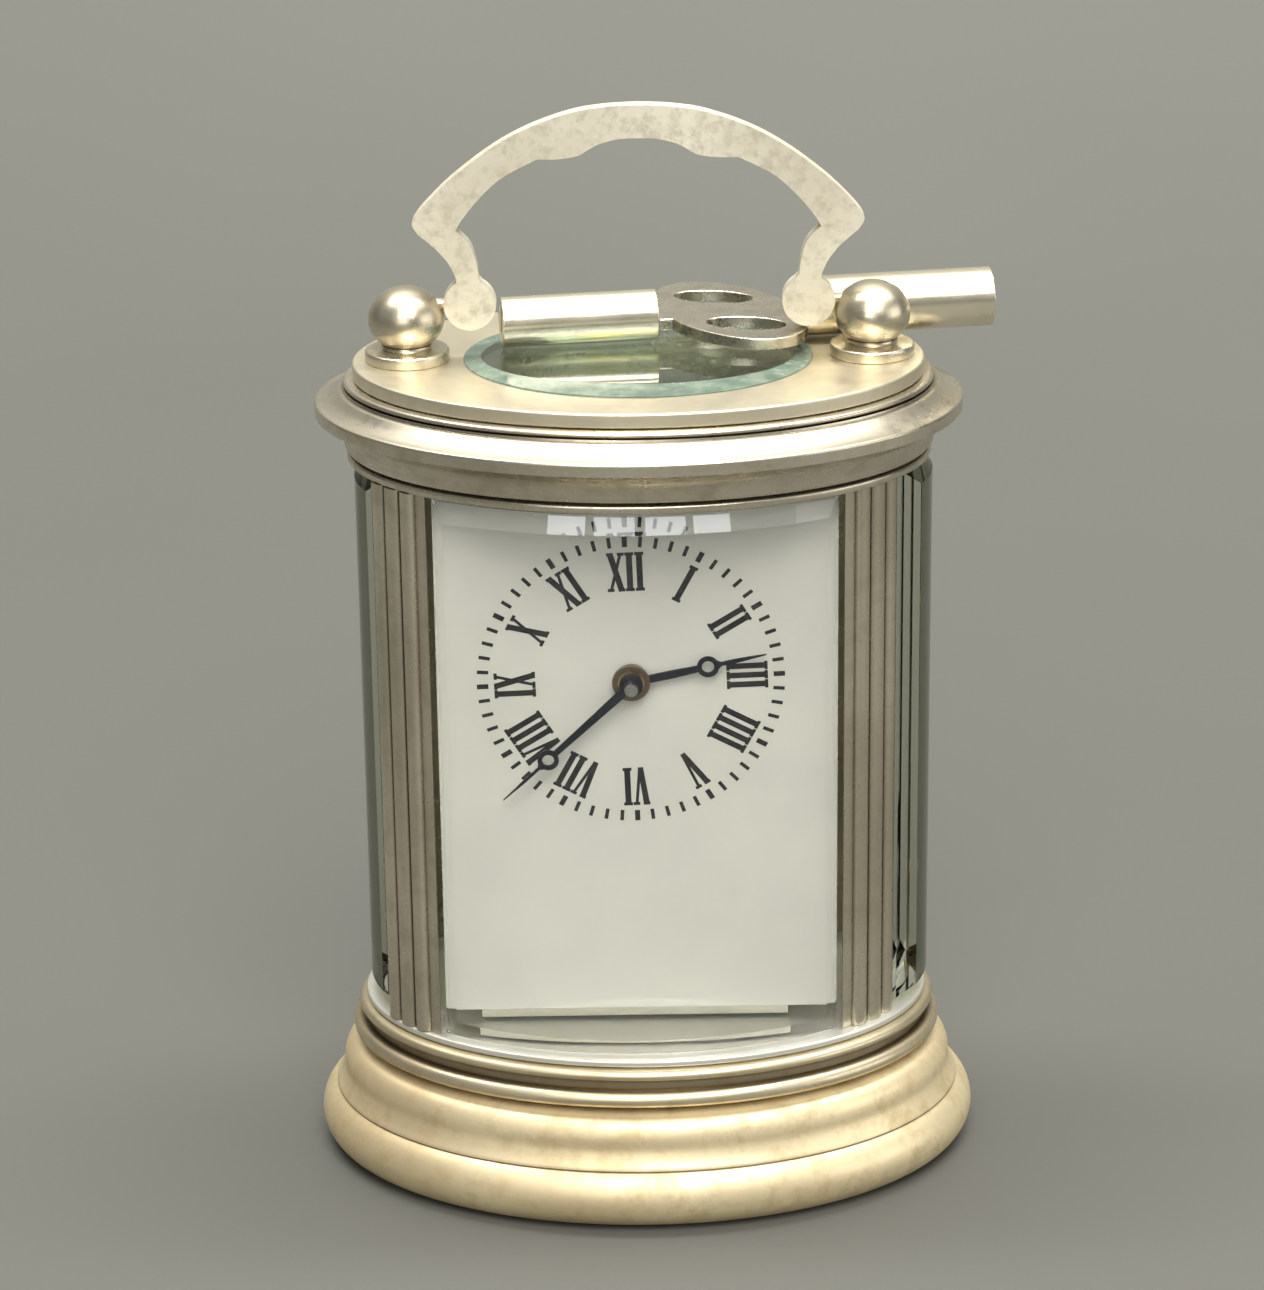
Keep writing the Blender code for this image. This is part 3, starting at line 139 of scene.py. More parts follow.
def metal(name, light, dark, roughness, streaks=(40, 40, 900), streak_depth=0.012, mottle=350.0,
          mottle_share=0.5, groove_shade=(0.30, 0.24, 0.15), groove=1.2 * MM, metallic=1.0):
    """Plated or plain metal: mottled colour, fine brushing, and painted shade in its grooves, tinted brown like
    tarnish.
    """
    nodes = Nodes(name)
    spots = nodes.noise(mottle, 6.0, 0.65)
    patches = nodes.noise(45.0, 3.0)
    brushing = nodes.noise(1.0, 5.0, 0.7, streaks)
    middle = tuple(0.5 * (a + b) for a, b in zip(light, dark))
    base = nodes.colour_mix(nodes.ramp(patches, 0.35, 0.65), middle, light)
    worn = nodes.colour_mix(nodes.ramp(spots, 0.42, 0.72, 0.0, mottle_share), base, dark)
    lined = nodes.colour_mix(nodes.ramp(brushing, 0.35, 0.75, 0.0, 0.28), worn, dark)
    # painted shade: an ambient-occlusion mask darkens grooves and hollows towards a dark brown shade colour
    unshaded_share = nodes.ramp(nodes.crevice(groove), 0.45, 0.95)
    nodes.link(nodes.colour_mix(unshaded_share, groove_shade, lined), nodes.shader.inputs["Base Color"])
    rough = nodes.ramp(nodes.sum(spots, brushing, 0.5), 0.5, 1.0, roughness[0], roughness[1])
    nodes.link(rough, nodes.shader.inputs["Roughness"])
    nodes.bump(nodes.sum(brushing, spots, 0.6), 0.6, streak_depth * MM)
    nodes.set(Metallic=metallic)
    return nodes.material


def glass(name, tint, edge, roughness=0.0, turning=(0.45, 0.85), index=1.5):
    """Clear glass that turns to its edge colour where it is seen along its length, and that
    lets lamplight reach what stands behind it."""
    nodes = Nodes(name)
    smears = nodes.noise(120.0, 4.0)
    clear_tint = nodes.colour_mix(nodes.ramp(smears, 0.3, 0.8), tint, tuple(0.985 * c for c in tint))
    facing = nodes.tree.nodes.new("ShaderNodeLayerWeight")
    facing.inputs["Blend"].default_value = 0.5
    nodes.link(nodes.colour_mix(nodes.ramp(facing.outputs["Facing"], *turning), clear_tint, edge),
               nodes.shader.inputs["Base Color"])
    nodes.link(nodes.ramp(smears, 0.45, 0.8, roughness, roughness + 0.03), nodes.shader.inputs["Roughness"])
    nodes.set(Transmission_Weight=1.0, IOR=index)
    clear = nodes.tree.nodes.new("ShaderNodeBsdfTransparent")
    clear.inputs["Color"].default_value = (*(0.95 * c for c in tint), 1.0)
    path = nodes.tree.nodes.new("ShaderNodeLightPath")
    mix = nodes.tree.nodes.new("ShaderNodeMixShader")
    nodes.link(path.outputs["Is Shadow Ray"], mix.inputs["Fac"])
    nodes.link(nodes.shader.outputs["BSDF"], mix.inputs[1])
    nodes.link(clear.outputs["BSDF"], mix.inputs[2])
    nodes.link(mix.outputs["Shader"], nodes.tree.nodes["Material Output"].inputs["Surface"])
    return nodes.material


def ground_glass(name, dark, light, clear_share, roughness, gloss):
    """The cut or frosted edge of a thick pane, tinted by the depth of glass behind it."""
    nodes = Nodes(name)
    cloud = nodes.noise(420.0, 5.0, 0.65)
    nodes.link(nodes.colour_mix(nodes.ramp(cloud, 0.35, 0.68), dark, light),
               nodes.shader.inputs["Base Color"])
    nodes.link(nodes.ramp(cloud, 0.3, 0.7, *roughness), nodes.shader.inputs["Roughness"])
    nodes.bump(cloud, 0.3, 0.02 * MM)
    nodes.set(Transmission_Weight=clear_share, IOR=1.5, Specular_IOR_Level=gloss)
    return nodes.material


def enamel(name):
    nodes = Nodes(name)
    cloud = nodes.noise(70.0, 5.0)
    specks = nodes.noise(2600.0, 2.0)
    # painted shade: the white enamel is given a mid-grey colour, well below white, for the shade the dial lies in
    # behind the glass and under the cornice
    white = nodes.colour_mix(nodes.ramp(cloud, 0.3, 0.7), (0.50, 0.495, 0.465), (0.55, 0.545, 0.51))
    nodes.link(nodes.colour_mix(nodes.ramp(specks, 0.76, 0.80, 0.0, 0.5), white, (0.45, 0.43, 0.40)),
               nodes.shader.inputs["Base Color"])
    nodes.link(nodes.ramp(cloud, 0.3, 0.7, 0.10, 0.18), nodes.shader.inputs["Roughness"])
    nodes.bump(cloud, 0.15, 0.02 * MM)
    nodes.set(Coat_Weight=0.3, Coat_Roughness=0.05)
    return nodes.material


def ink(name):
    nodes = Nodes(name)
    wear = nodes.noise(1500.0, 3.0)
    nodes.link(nodes.colour_mix(nodes.ramp(wear, 0.4, 0.75), (0.004, 0.004, 0.006), (0.02, 0.02, 0.022)),
               nodes.shader.inputs["Base Color"])
    nodes.link(nodes.ramp(wear, 0.3, 0.7, 0.45, 0.65), nodes.shader.inputs["Roughness"])
    nodes.set(Specular_IOR_Level=0.2)
    return nodes.material


def floor_cloth(name):
    """The plain matt sheet the clock stands on."""
    nodes = Nodes(name)
    cloud = nodes.noise(2.2, 3.0)
    grain = nodes.noise(900.0, 4.0)
    soft = nodes.colour_mix(nodes.ramp(cloud, 0.3, 0.7), (0.092, 0.092, 0.081), (0.110, 0.110, 0.097))
    nodes.link(nodes.colour_mix(nodes.ramp(grain, 0.35, 0.7, 0.0, 0.22), soft, (0.100, 0.100, 0.088)),
               nodes.shader.inputs["Base Color"])
    nodes.bump(grain, 0.25, 0.15 * MM)
    nodes.set(Roughness=0.75)
    return nodes.material


# in each metal look the colour just before the groove width is the painted shade laid into its grooves
LOOKS = {
    "base": metal("matt_cream_silver", (0.90, 0.77, 0.50), (0.60, 0.46, 0.26), (0.42, 0.56), (60, 60, 700),
                  0.018, 420.0, 0.75, (0.10, 0.055, 0.020), 2.6 * MM, 0.65),
    "beads": metal("satin_cream_silver", (0.76, 0.67, 0.48), (0.46, 0.37, 0.21), (0.30, 0.46),
                   (40, 40, 1100), 0.014, 380.0, 0.5, (0.10, 0.06, 0.025), 1.5 * MM, 0.85),
    "case": metal("satin_silver", (0.77, 0.71, 0.58), (0.44, 0.38, 0.27), (0.22, 0.38), (40, 40, 1100),
                  0.012, 380.0, 0.55, (0.09, 0.065, 0.035), 1.5 * MM, 0.95),
    "case_floor": metal("polished_case_floor", (0.74, 0.73, 0.66), (0.60, 0.58, 0.50), (0.32, 0.40),
                        (500, 500, 500), 0.001, 300.0, 0.3, (0.40, 0.36, 0.28), 0.4 * MM, 0.6),
    "plate": metal("brushed_top_silver", (0.82, 0.75, 0.58), (0.55, 0.48, 0.33), (0.34, 0.46),
                   (40, 900, 40), 0.008, 300.0, 0.4, (0.16, 0.11, 0.05), 1.2 * MM, 0.9),
    "upright": metal("drawn_silver", (0.74, 0.68, 0.54), (0.42, 0.37, 0.27), (0.24, 0.38), (900, 900, 30),
                     0.008, 420.0, 0.45, (0.12, 0.10, 0.06), 0.7 * MM, 0.95),
    "stamped": metal("frosted_silver", (0.97, 0.91, 0.75), (0.56, 0.51, 0.39), (0.42, 0.58),
                     (350, 350, 350), 0.030, 900.0, 0.95, (0.30, 0.24, 0.15), 1.2 * MM, 0.45),
    "turned": metal("turned_silver", (0.82, 0.75, 0.58), (0.40, 0.34, 0.23), (0.24, 0.36), (50, 50, 1400),
                    0.020, 420.0, 0.4, (0.18, 0.12, 0.05), 1.0 * MM, 0.9),
    "key": metal("polished_key", (0.94, 0.88, 0.70), (0.74, 0.66, 0.46), (0.20, 0.28), (60, 1200, 1200),
                 0.002, 300.0, 0.25, metallic=0.9),
    "bow": metal("worn_key_bow", (0.80, 0.74, 0.62), (0.42, 0.37, 0.29), (0.20, 0.34), (500, 500, 500),
                 0.006, 600.0, 0.3, (0.08, 0.06, 0.04), 0.8 * MM),
    "pale_brass": metal("pale_brass_plate", (0.54, 0.53, 0.47), (0.45, 0.44, 0.39), (0.30, 0.42),
                        (900, 60, 900), 0.002, 300.0, 0.15, (0.10, 0.08, 0.05), 0.6 * MM, 0.9),
    "brass": metal("brushed_brass", (0.80, 0.60, 0.28), (0.48, 0.33, 0.13), (0.22, 0.40), (60, 900, 900),
                   0.008, 450.0, 0.35, (0.12, 0.07, 0.03), 0.6 * MM),
    "steel": metal("polished_steel", (0.56, 0.57, 0.59), (0.30, 0.31, 0.33), (0.16, 0.32), (900, 60, 900),
                   0.006, 500.0, 0.3, (0.06, 0.05, 0.05), 0.5 * MM),
    "blued_steel": metal("blued_steel", (0.030, 0.036, 0.065), (0.012, 0.014, 0.022), (0.16, 0.32),
                         (700, 700, 700), 0.004, 600.0, 0.4, (0.01, 0.01, 0.012), 0.3 * MM),
    "bronze": metal("bronze_collet", (0.24, 0.17, 0.11), (0.12, 0.085, 0.06), (0.28, 0.42),
                    (700, 700, 700), 0.005, 600.0, 0.4, (0.03, 0.02, 0.015), 0.3 * MM),
    "glass": glass("clear_glass", (0.945, 0.945, 0.92), (0.62, 0.66, 0.57)),
    "side_glass": glass("thick_side_glass", (0.66, 0.67, 0.58), (0.10, 0.11, 0.065), 0.0, (0.22, 0.5), 1.25),
    "bevel_glass": glass("bevelled_glass_edge", (0.60, 0.63, 0.55), (0.46, 0.49, 0.41), 0.14),
    "cut_glass": ground_glass("cut_olive_glass", (0.045, 0.052, 0.030), (0.095, 0.105, 0.065), 0.0,
                              (0.5, 0.7), 0.12),
    "top_glass": glass("green_edged_glass", (0.80, 0.90, 0.84), (0.55, 0.68, 0.58)),
    "ground_glass": ground_glass("ground_green_glass", (0.12, 0.18, 0.135), (0.24, 0.31, 0.24), 0.2,
                                 (0.12, 0.30), 0.5),
    "enamel": enamel("shaded_white_enamel"),
    "ink": ink("dial_ink"),
}


# ---------------------------------------------------------------- mesh tools


def add_piece(name, mesh, look, replaced, body=None, smooth=40.0):
    """Show a mesh in row coordinates in place of the CAD nodes it replaces."""
    piece = bpy.data.objects.new(name, mesh)
    bpy.context.scene.collection.objects.link(piece)
    mesh.materials.clear()
    mesh.materials.append(LOOKS[look])
    mesh.shade_smooth()
    mesh.set_sharp_from_angle(angle=math.radians(smooth))
    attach(piece, body or BODY_OF[replaced[0]])
    if replaced:
        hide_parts(*replaced)
    return piece


def soften(piece, width, segments=3, angle=35.0):
    """Round a piece's sharp edges."""
    bevel = piece.modifiers.new("soft edges", "BEVEL")
    bevel.width = width * MM
    bevel.segments = segments
    bevel.limit_method = "ANGLE"
    bevel.angle_limit = math.radians(angle)
    bevel.harden_normals = True
    return piece


def finished(builder, merge=1e-6):
    bmesh.ops.remove_doubles(builder, verts=builder.verts, dist=merge)
    bmesh.ops.recalc_face_normals(builder, faces=builder.faces)
    mesh = bpy.data.meshes.new("shape")
    builder.to_mesh(mesh)
    builder.free()
    return mesh


def arc(centre, radii, start, end, steps=10):
    """Points of an elliptic arc in mm, angles in degrees."""
    points = []
    for i in range(steps + 1):
        turn = math.radians(start + (end - start) * i / steps)
        points.append((centre[0] + radii[0] * math.cos(turn), centre[1] + radii[1] * math.sin(turn)))
    return points


def spline(points, per_span=6):
    """A Catmull-Rom curve through points, with its ends kept."""
    padded = [points[0]] + list(points) + [points[-1]]
    smooth = []
    for i in range(len(points) - 1):
        a, b, c, d = (Vector(p) for p in padded[i:i + 4])
        for k in range(per_span):
            t = k / per_span
            smooth.append(tuple(0.5 * (2 * b + (c - a) * t + (2 * a - 5 * b + 4 * c - d) * t ** 2
                                       + (3 * b - a - 3 * c + d) * t ** 3)))
    smooth.append(tuple(points[-1]))
    return smooth


def lofted(loops, closed_section=False, caps=True):
    """A skin over loops of equal length, each a list of row points in mm."""
    builder = bmesh.new()
    rings = [[builder.verts.new(Vector(p) * MM) for p in loop] for loop in loops]
    pairs = list(zip(rings, rings[1:]))
    if closed_section:
        pairs.append((rings[-1], rings[0]))
    elif caps:
        builder.faces.new(rings[0])
        builder.faces.new(rings[-1])
    count = len(rings[0])
    for lower, upper in pairs:
        for i in range(count):
            j = (i + 1) % count
            builder.faces.new((lower[i], lower[j], upper[j], upper[i]))
    return finished(builder)


def oval_loop(half_width, half_depth, z, steps=SEGMENTS):
    turns = [2 * math.pi * i / steps for i in range(steps)]
    return [(half_width * math.cos(t), half_depth * math.sin(t), z) for t in turns]


def oval_moulding(profile, ring=False):
    """An oval moulding in mm from (half width, z) points."""
    return lofted([oval_loop(a, a - OVAL_DELTA, z) for a, z in profile], ring)


def turned(profile, steps=ROUND):
    """A solid of revolution about Z from (radius, z) points in mm, on the axis at both ends."""
    turns = [2 * math.pi * i / steps for i in range(steps)]
    loops = []
    for radius, z in profile:
        reach = max(radius, 1e-3)
        loops.append([(reach * math.cos(t), reach * math.sin(t), z) for t in turns])
    return lofted(loops)


def extruded(loops, low, high):
    """A flat outline in XY (first loop outer, the rest holes) between two heights, in mm."""
    curve = bpy.data.curves.new("outline", "CURVE")
    curve.dimensions = "2D"
    curve.fill_mode = "BOTH"
    curve.extrude = (high - low) / 2 * MM
    for loop in loops:
        line = curve.splines.new("POLY")
        line.points.add(len(loop) - 1)
        line.use_cyclic_u = True
        for point, (x, y) in zip(line.points, loop):
            point.co = (x * MM, y * MM, 0.0, 1.0)
    item = bpy.data.objects.new("outline", curve)
    bpy.context.scene.collection.objects.link(item)
    bpy.context.view_layer.update()
    shape = bpy.data.meshes.new_from_object(item.evaluated_get(bpy.context.evaluated_depsgraph_get()))
    bpy.data.objects.remove(item, do_unlink=True)
    builder = bmesh.new()
    builder.from_mesh(shape)
    bpy.data.meshes.remove(shape)
    bmesh.ops.translate(builder, verts=builder.verts, vec=(0, 0, (low + high) / 2 * MM))
    bmesh.ops.dissolve_limit(builder, angle_limit=math.radians(0.5), verts=builder.verts,
                             edges=builder.edges)
    return finished(builder)


def upright(loops, front, back):
    """The same outline in XZ between two Y planes."""
    mesh = extruded(loops, -back, -front)
    mesh.transform(Matrix.Rotation(math.radians(90), 4, "X"))
    return mesh


def merged(meshes):
    """Several shapes as one mesh of loose bodies."""
    builder = bmesh.new()
    for mesh in meshes:
        builder.from_mesh(mesh)
        bpy.data.meshes.remove(mesh)
    joined = bpy.data.meshes.new("shape")
    builder.to_mesh(joined)
    builder.free()
    return joined


def circle(x, y, radius, steps=ROUND, start=0.0):
    turns = [start + 2 * math.pi * i / steps for i in range(steps)]
    return [(x + radius * math.cos(t), y + radius * math.sin(t)) for t in turns]


def extents(node):
    """A node's lowest and highest corners in mm."""
    low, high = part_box(node)
    return low / MM, high / MM


# ---------------------------------------------------------------- oval case

BASE = extents("base_plinth")[1].x
PLINTH_TOP = extents("base_plinth")[1].z
RIM = extents("body_rim")[1].x
FLOOR_LOW = extents("base_floor")[0].z
FLOOR_HIGH = extents("base_floor")[1].z
BODY_LOW = extents("front_glass")[0].z
BODY_HIGH = extents("front_glass")[1].z
LIP = extents("cornice")[1].x
CORNICE_LOW = extents("cornice")[0].z
CORNICE_HIGH = extents("cornice")[1].z
PLATE = extents("top_plate")[1].x
PLATE_LOW = extents("top_plate")[0].z
PLATE_TOP = extents("top_plate")[1].z
BODY_X = (extents("front_glass")[0].x + extents("front_glass")[1].x) / 2
OPENING = 22.5          # half width of the hole through cornice and rim


def build_base():
    torus = arc((BASE - 2.9, 3.05), (2.9, 3.0), -80, 62, 30)
    hollow = spline([(BASE - 1.5, 6.02), (BASE - 1.9, 6.7), (BASE - 2.2, 7.5), (BASE - 2.25, 8.2)], 5)
    shoulder = arc((27.0, 8.2), (1.75, 2.15), 4, 80, 14)
    profile = [(BASE - 3.2, 0.0)] + torus + [(BASE - 1.46, 5.85)] + hollow + shoulder
    profile += [(26.95, PLINTH_TOP - 0.08), (26.0, PLINTH_TOP)]
    add_piece("oval_plinth", oval_moulding(profile), "base", ["base_plinth"])
    low_bead = arc((26.9, 11.9), (0.85, 0.78), -88, 88, 12)
    high_bead = arc((26.45, 14.1), (0.72, 0.55), -85, 88, 10)
    beads = [(26.0, PLINTH_TOP + 0.05)] + low_bead + [(26.55, 12.75), (26.5, 13.45)] + high_bead
    beads += [(26.1, FLOOR_LOW)]
    add_piece("beaded_moulding", oval_moulding(beads), "beads", ["base_moulding"])
    rim = [(RIM - 0.4, FLOOR_LOW)] + arc((RIM - 0.18, FLOOR_LOW + 0.2), (0.18, 0.18), -80, 0, 4)
    rim += arc((RIM - 0.18, FLOOR_HIGH - 0.2), (0.18, 0.18), 0, 85, 4) + [(RIM - 0.6, FLOOR_HIGH)]
    add_piece("case_floor", oval_moulding(rim), "case_floor", ["base_floor"])


def build_cornice():
    low, high = (extents("body_rim")[i].z for i in (0, 1))
    edge = arc((RIM - 0.2, low + 0.2), (0.2, 0.2), -90, 0, 4) + arc((RIM - 0.2, high - 0.2), (0.2, 0.2), 0, 90, 4)
    add_piece("upper_rim", oval_moulding(edge + [(OPENING, high), (OPENING, low)], True), "case", ["body_rim"])
    cove = spline([(26.62, 69.15), (26.85, 70.0), (27.4, 70.95), (28.2, 71.65), (28.85, 71.92)], 5)
    wall = [(28.95, 72.06), (LIP - 0.06, 72.06), (LIP, 72.12), (LIP, 73.02)]
    edge = arc((LIP - 0.22, 73.04), (0.22, 0.24), 0, 62, 5)
    slope = spline([(LIP - 0.2, 73.29), (28.5, 73.47), (27.8, 73.83), (27.05, 74.4)], 5)
    bead = arc((26.2, 74.98), (0.42, 0.3), -75, 85, 8)
    profile = [(26.45, CORNICE_LOW)] + cove + wall + edge + slope + [(26.68, 74.45), (26.62, 74.66)] + bead
    profile += [(OPENING, PLATE_LOW - 0.08), (OPENING, CORNICE_LOW)]
    add_piece("cornice_moulding", oval_moulding(profile, True), "case", ["cornice"])


def build_top():
    hole_a = 14.6
    hole_b = 11.8
    depth = PLATE - OVAL_DELTA
    loops = [oval_loop(PLATE - 0.1, depth - 0.1, PLATE_LOW), oval_loop(PLATE, depth, PLATE_LOW + 0.1)]
    for a, z in arc((PLATE - 0.22, PLATE_TOP - 0.22), (0.22, 0.22), 0, 90, 6):
        loops.append(oval_loop(a, a - OVAL_DELTA, z))
    loops += [oval_loop(hole_a, hole_b, PLATE_TOP), oval_loop(hole_a, hole_b, PLATE_LOW)]
    add_piece("top_plate_disc", lofted(loops, True), "plate", ["top_plate"])
    top = extents("top_glass")[1].z
    ledge = PLATE_TOP + 0.05
    loops = [oval_loop(hole_a - 0.3, hole_b - 0.3, PLATE_LOW), oval_loop(hole_a - 0.3, hole_b - 0.3, ledge),
             oval_loop(15.73, 12.9, ledge), oval_loop(15.66, 12.82, ledge + 0.08),
             oval_loop(14.15, 9.5, top - 0.01), oval_loop(14.0, 9.3, top)]
    window = add_piece("top_window", lofted(loops), "top_glass", ["top_glass"], smooth=8.0)
    window.data.materials.append(LOOKS["ground_glass"])
    for face in window.data.polygons:
        middle = face.center / MM
        if middle.z > ledge and (middle.x / 14.1) ** 2 + (middle.y / 9.45) ** 2 > 1.0:
            face.material_index = 1


def bevelled_panel(name, node, run, low, high, thickness, edge, bevel, columns, look, ground):
    """A curved glass panel whose outer face has a wide ground bevel; run holds the panel's length
    and a function that gives the outer point and normal at a distance along it. ground is the
    look of its bevels and cut edges."""
    length, curve = run
    inner = [bevel + (length - 2 * bevel) * i / columns for i in range(columns + 1)]
    stations = [0.0, bevel * 0.5] + inner + [length - bevel * 0.5, length]
    levels = [low, low + bevel * 0.5, low + bevel, high - bevel, high - bevel * 0.5, high]
    builder = bmesh.new()
    outer_grid, inner_grid = [], []
    for s in stations:
        point, normal = curve(s)
        column_out, column_in = [], []
        for z in levels:
            reach = min(s, length - s, z - low, high - z)
            depth = edge + (thickness - edge) * min(1.0, reach / bevel)
            back = point - normal * thickness
            front = back + normal * depth
            column_out.append(builder.verts.new(Vector((front.x, front.y, z)) * MM))
            column_in.append(builder.verts.new(Vector((back.x, back.y, z)) * MM))
        outer_grid.append(column_out)
        inner_grid.append(column_in)
    last_s, last_z = len(stations) - 1, len(levels) - 1
    for i in range(last_s):
        for k in range(last_z):
            a, b = outer_grid[i][k], outer_grid[i + 1][k]
            c, d = outer_grid[i + 1][k + 1], outer_grid[i][k + 1]
            left, right = i < 2, i >= last_s - 2
            bottom, top = k < 2, k >= last_z - 2
            first = len(builder.faces)
            if (left and bottom) or (right and top):
                builder.faces.new((a, b, c))
                builder.faces.new((a, c, d))
            elif (left and top) or (right and bottom):
                builder.faces.new((a, b, d))
                builder.faces.new((b, c, d))
            else:
                builder.faces.new((a, b, c, d))
            if left or right or bottom or top:
                builder.faces.ensure_lookup_table()
                for face in builder.faces[first:]:
                    face.material_index = 1
            builder.faces.new((inner_grid[i][k], inner_grid[i][k + 1], inner_grid[i + 1][k + 1],
                               inner_grid[i + 1][k]))
    for k in range(last_z):
        for i in (0, last_s):
            cut = builder.faces.new((outer_grid[i][k], outer_grid[i][k + 1], inner_grid[i][k + 1],
                                     inner_grid[i][k]))
            cut.material_index = 1
    for i in range(last_s):
        for k in (0, last_z):
            builder.faces.new((outer_grid[i][k], inner_grid[i][k], inner_grid[i + 1][k],
                               outer_grid[i + 1][k]))
    panel = add_piece(name, finished(builder), look, [node], smooth=6.0)
    panel.data.materials.append(LOOKS[ground])
    return panel


def oval_run(middle, half_width, half_depth, start, end, steps=400):
    """Distance lookup along an ellipse, angles in degrees; returns (length, curve) for
    bevelled_panel."""
    table = []
    travelled = 0.0
    previous = None
    for i in range(steps + 1):
        turn = math.radians(start + (end - start) * i / steps)
        point = Vector((middle + half_width * math.cos(turn), half_depth * math.sin(turn)))
        if previous is not None:
            travelled += (point - previous).length
        previous = point
        table.append((travelled, turn))

    def curve(s):
        for (s0, t0), (s1, t1) in zip(table, table[1:]):
            if s <= s1:
                turn = t0 + (t1 - t0) * (s - s0) / (s1 - s0)
                break
        else:
            turn = table[-1][1]
        point = Vector((middle + half_width * math.cos(turn), half_depth * math.sin(turn)))
        normal = Vector((math.cos(turn) / half_width, math.sin(turn) / half_depth)).normalized()
        return point, normal

    return travelled, curve


def build_glasses():
    half = math.degrees(math.acos(18.4 / 26.2))
    bevelled_panel("bevelled_front_glass", "front_glass", oval_run(BODY_X, 26.2, 18.15, 180 + half, 360 - half),
                   BODY_LOW, BODY_HIGH, 1.6, 0.8, 1.7, 64, "glass", "bevel_glass")
    side = math.degrees(math.asin(7.0 / 18.6))
    for word, middle, reach in (("left", 180, -extents("side_glass_left")[0].x),
                                ("right", 0, extents("side_glass_right")[1].x)):
        bevelled_panel("bevelled_side_glass_" + word, "side_glass_" + word,
                       oval_run(0, reach, 18.6, middle - side, middle + side), BODY_LOW, BODY_HIGH,
                       2.0, 0.5, 1.3, 24, "side_glass", "cut_glass")
    reach = math.degrees(math.acos(13.3 / 25.7))
    low, high = (extents("door_glass")[i].z for i in (0, 1))
    bevelled_panel("bevelled_door_glass", "door_glass", oval_run(BODY_X, 25.7, 17.7, reach, 180 - reach),
                   low, high, 1.2, 0.7, 1.2, 40, "glass", "bevel_glass")


def reeded_outline(side_x, side_y):
    """A pilaster's section: a flat fillet and three round reeds on the body's oval."""
    bounds = (19.45, 20.75, 22.15, 23.25)
    steps = 20

    def on_oval(x, relief):
        depth = 17.6 * math.sqrt(1 - (x / 25.6) ** 2)
        normal = Vector((x / 25.6 ** 2, depth / 17.6 ** 2)).normalized()
        return (x + relief * normal.x, depth + relief * normal.y)

    front = [on_oval(18.55, 0.0), on_oval(19.3, 0.0)]
    for start, end in zip(bounds, bounds[1:]):
        for i in range(steps):
            share = i / steps
            round_share = math.sqrt(max(0.0, 1 - (2 * share - 1) ** 2))
            front.append(on_oval(start + (end - start) * share, 0.55 * round_share))
    front.append(on_oval(bounds[-1], 0.0))
    back = []
    for i, x in enumerate((23.25, 22.2, 21.1, 20.0, 18.55)):
        share = 1 - i / 4
        point = on_oval(x, 0.0)
        back.append((point[0] - 1.4 * share, point[1] - 1.6 * (1 - share)))
    return [(BODY_X + side_x * x, side_y * y) for x, y in front + back]


def build_pilasters():
    for depth, side_y in (("front", -1), ("back", 1)):
        for word, side_x in (("left", -1), ("right", 1)):
            node = f"pilaster_{depth}_{word}"
            low, high = extents(node)
            mesh = extruded([reeded_outline(side_x, side_y)], low.z - 0.25, high.z + 0.25)
            add_piece(f"reeded_{node}", mesh, "upright", [node], smooth=50.0)


def build_door():
    node = "door_frame"
    low, high = (extents(node)[i].z for i in (0, 1))
    reach, window, rail = 17.8, 13.6, 4.0

    def leaf(x_from, x_to, bottom, top):
        steps = max(4, int(abs(x_to - x_from) * 2))
        outer, inner = [], []
        for i in range(steps + 1):
            x = x_from + (x_to - x_from) * i / steps
            outer.append((BODY_X + x, 18.2 * math.sqrt(1 - (x / 26.2) ** 2)))
            inner.append((BODY_X + x, 16.0 * math.sqrt(1 - (x / 24.0) ** 2)))
        return extruded([outer + inner[::-1]], bottom, top)

    strips = [leaf(-reach, -window, low, high), leaf(window, reach, low, high),
              leaf(-window, window, low, low + rail), leaf(-window, window, high - rail, high)]
    frame_piece = add_piece("door_frame_bars", merged(strips), "case", [node])
    soften(frame_piece, 0.15)


# ---------------------------------------------------------------- finials and handle


def build_finials():
    collar_low, collar_high = extents("finial_collar_left")
    ball_low, ball_high = extents("finial_ball_left")
    radius = (ball_high.x - ball_low.x) / 2
    middle = ball_high.z - 2.95
    neck = collar_high.z
    profile = arc((0, middle), (radius, 2.95), 89.5, -52, 40)
    waist = profile[-1]
    profile += [(waist[0] - 0.05, waist[1] - 0.1), (2.0, neck + 0.55), (2.25, neck + 0.42), (2.3, neck + 0.25),
                (2.2, neck + 0.03), (0.0, neck + 0.03)]
    wall = (collar_high.x - collar_low.x) / 2
    disc = [(0, collar_high.z), (2.6, collar_high.z), (2.75, collar_high.z - 0.05)]
    disc += arc((wall - 0.25, collar_high.z - 0.3), (0.25, 0.25), 90, 0, 6)
    disc += arc((wall - 0.15, PLATE_TOP + 0.15), (0.15, 0.15), 0, -90, 4) + [(0, PLATE_TOP)]
    for word in ("left", "right"):
        low, high = extents("finial_ball_" + word)
        place = Matrix.Translation(Vector(((low.x + high.x) / 2 * MM, 0, 0)))
        for name, points in (("finial_collar_", disc), ("finial_ball_", profile)):
            mesh = turned(points)
            mesh.transform(place)
            add_piece("turned_" + name + word, mesh, "turned", [name + word])


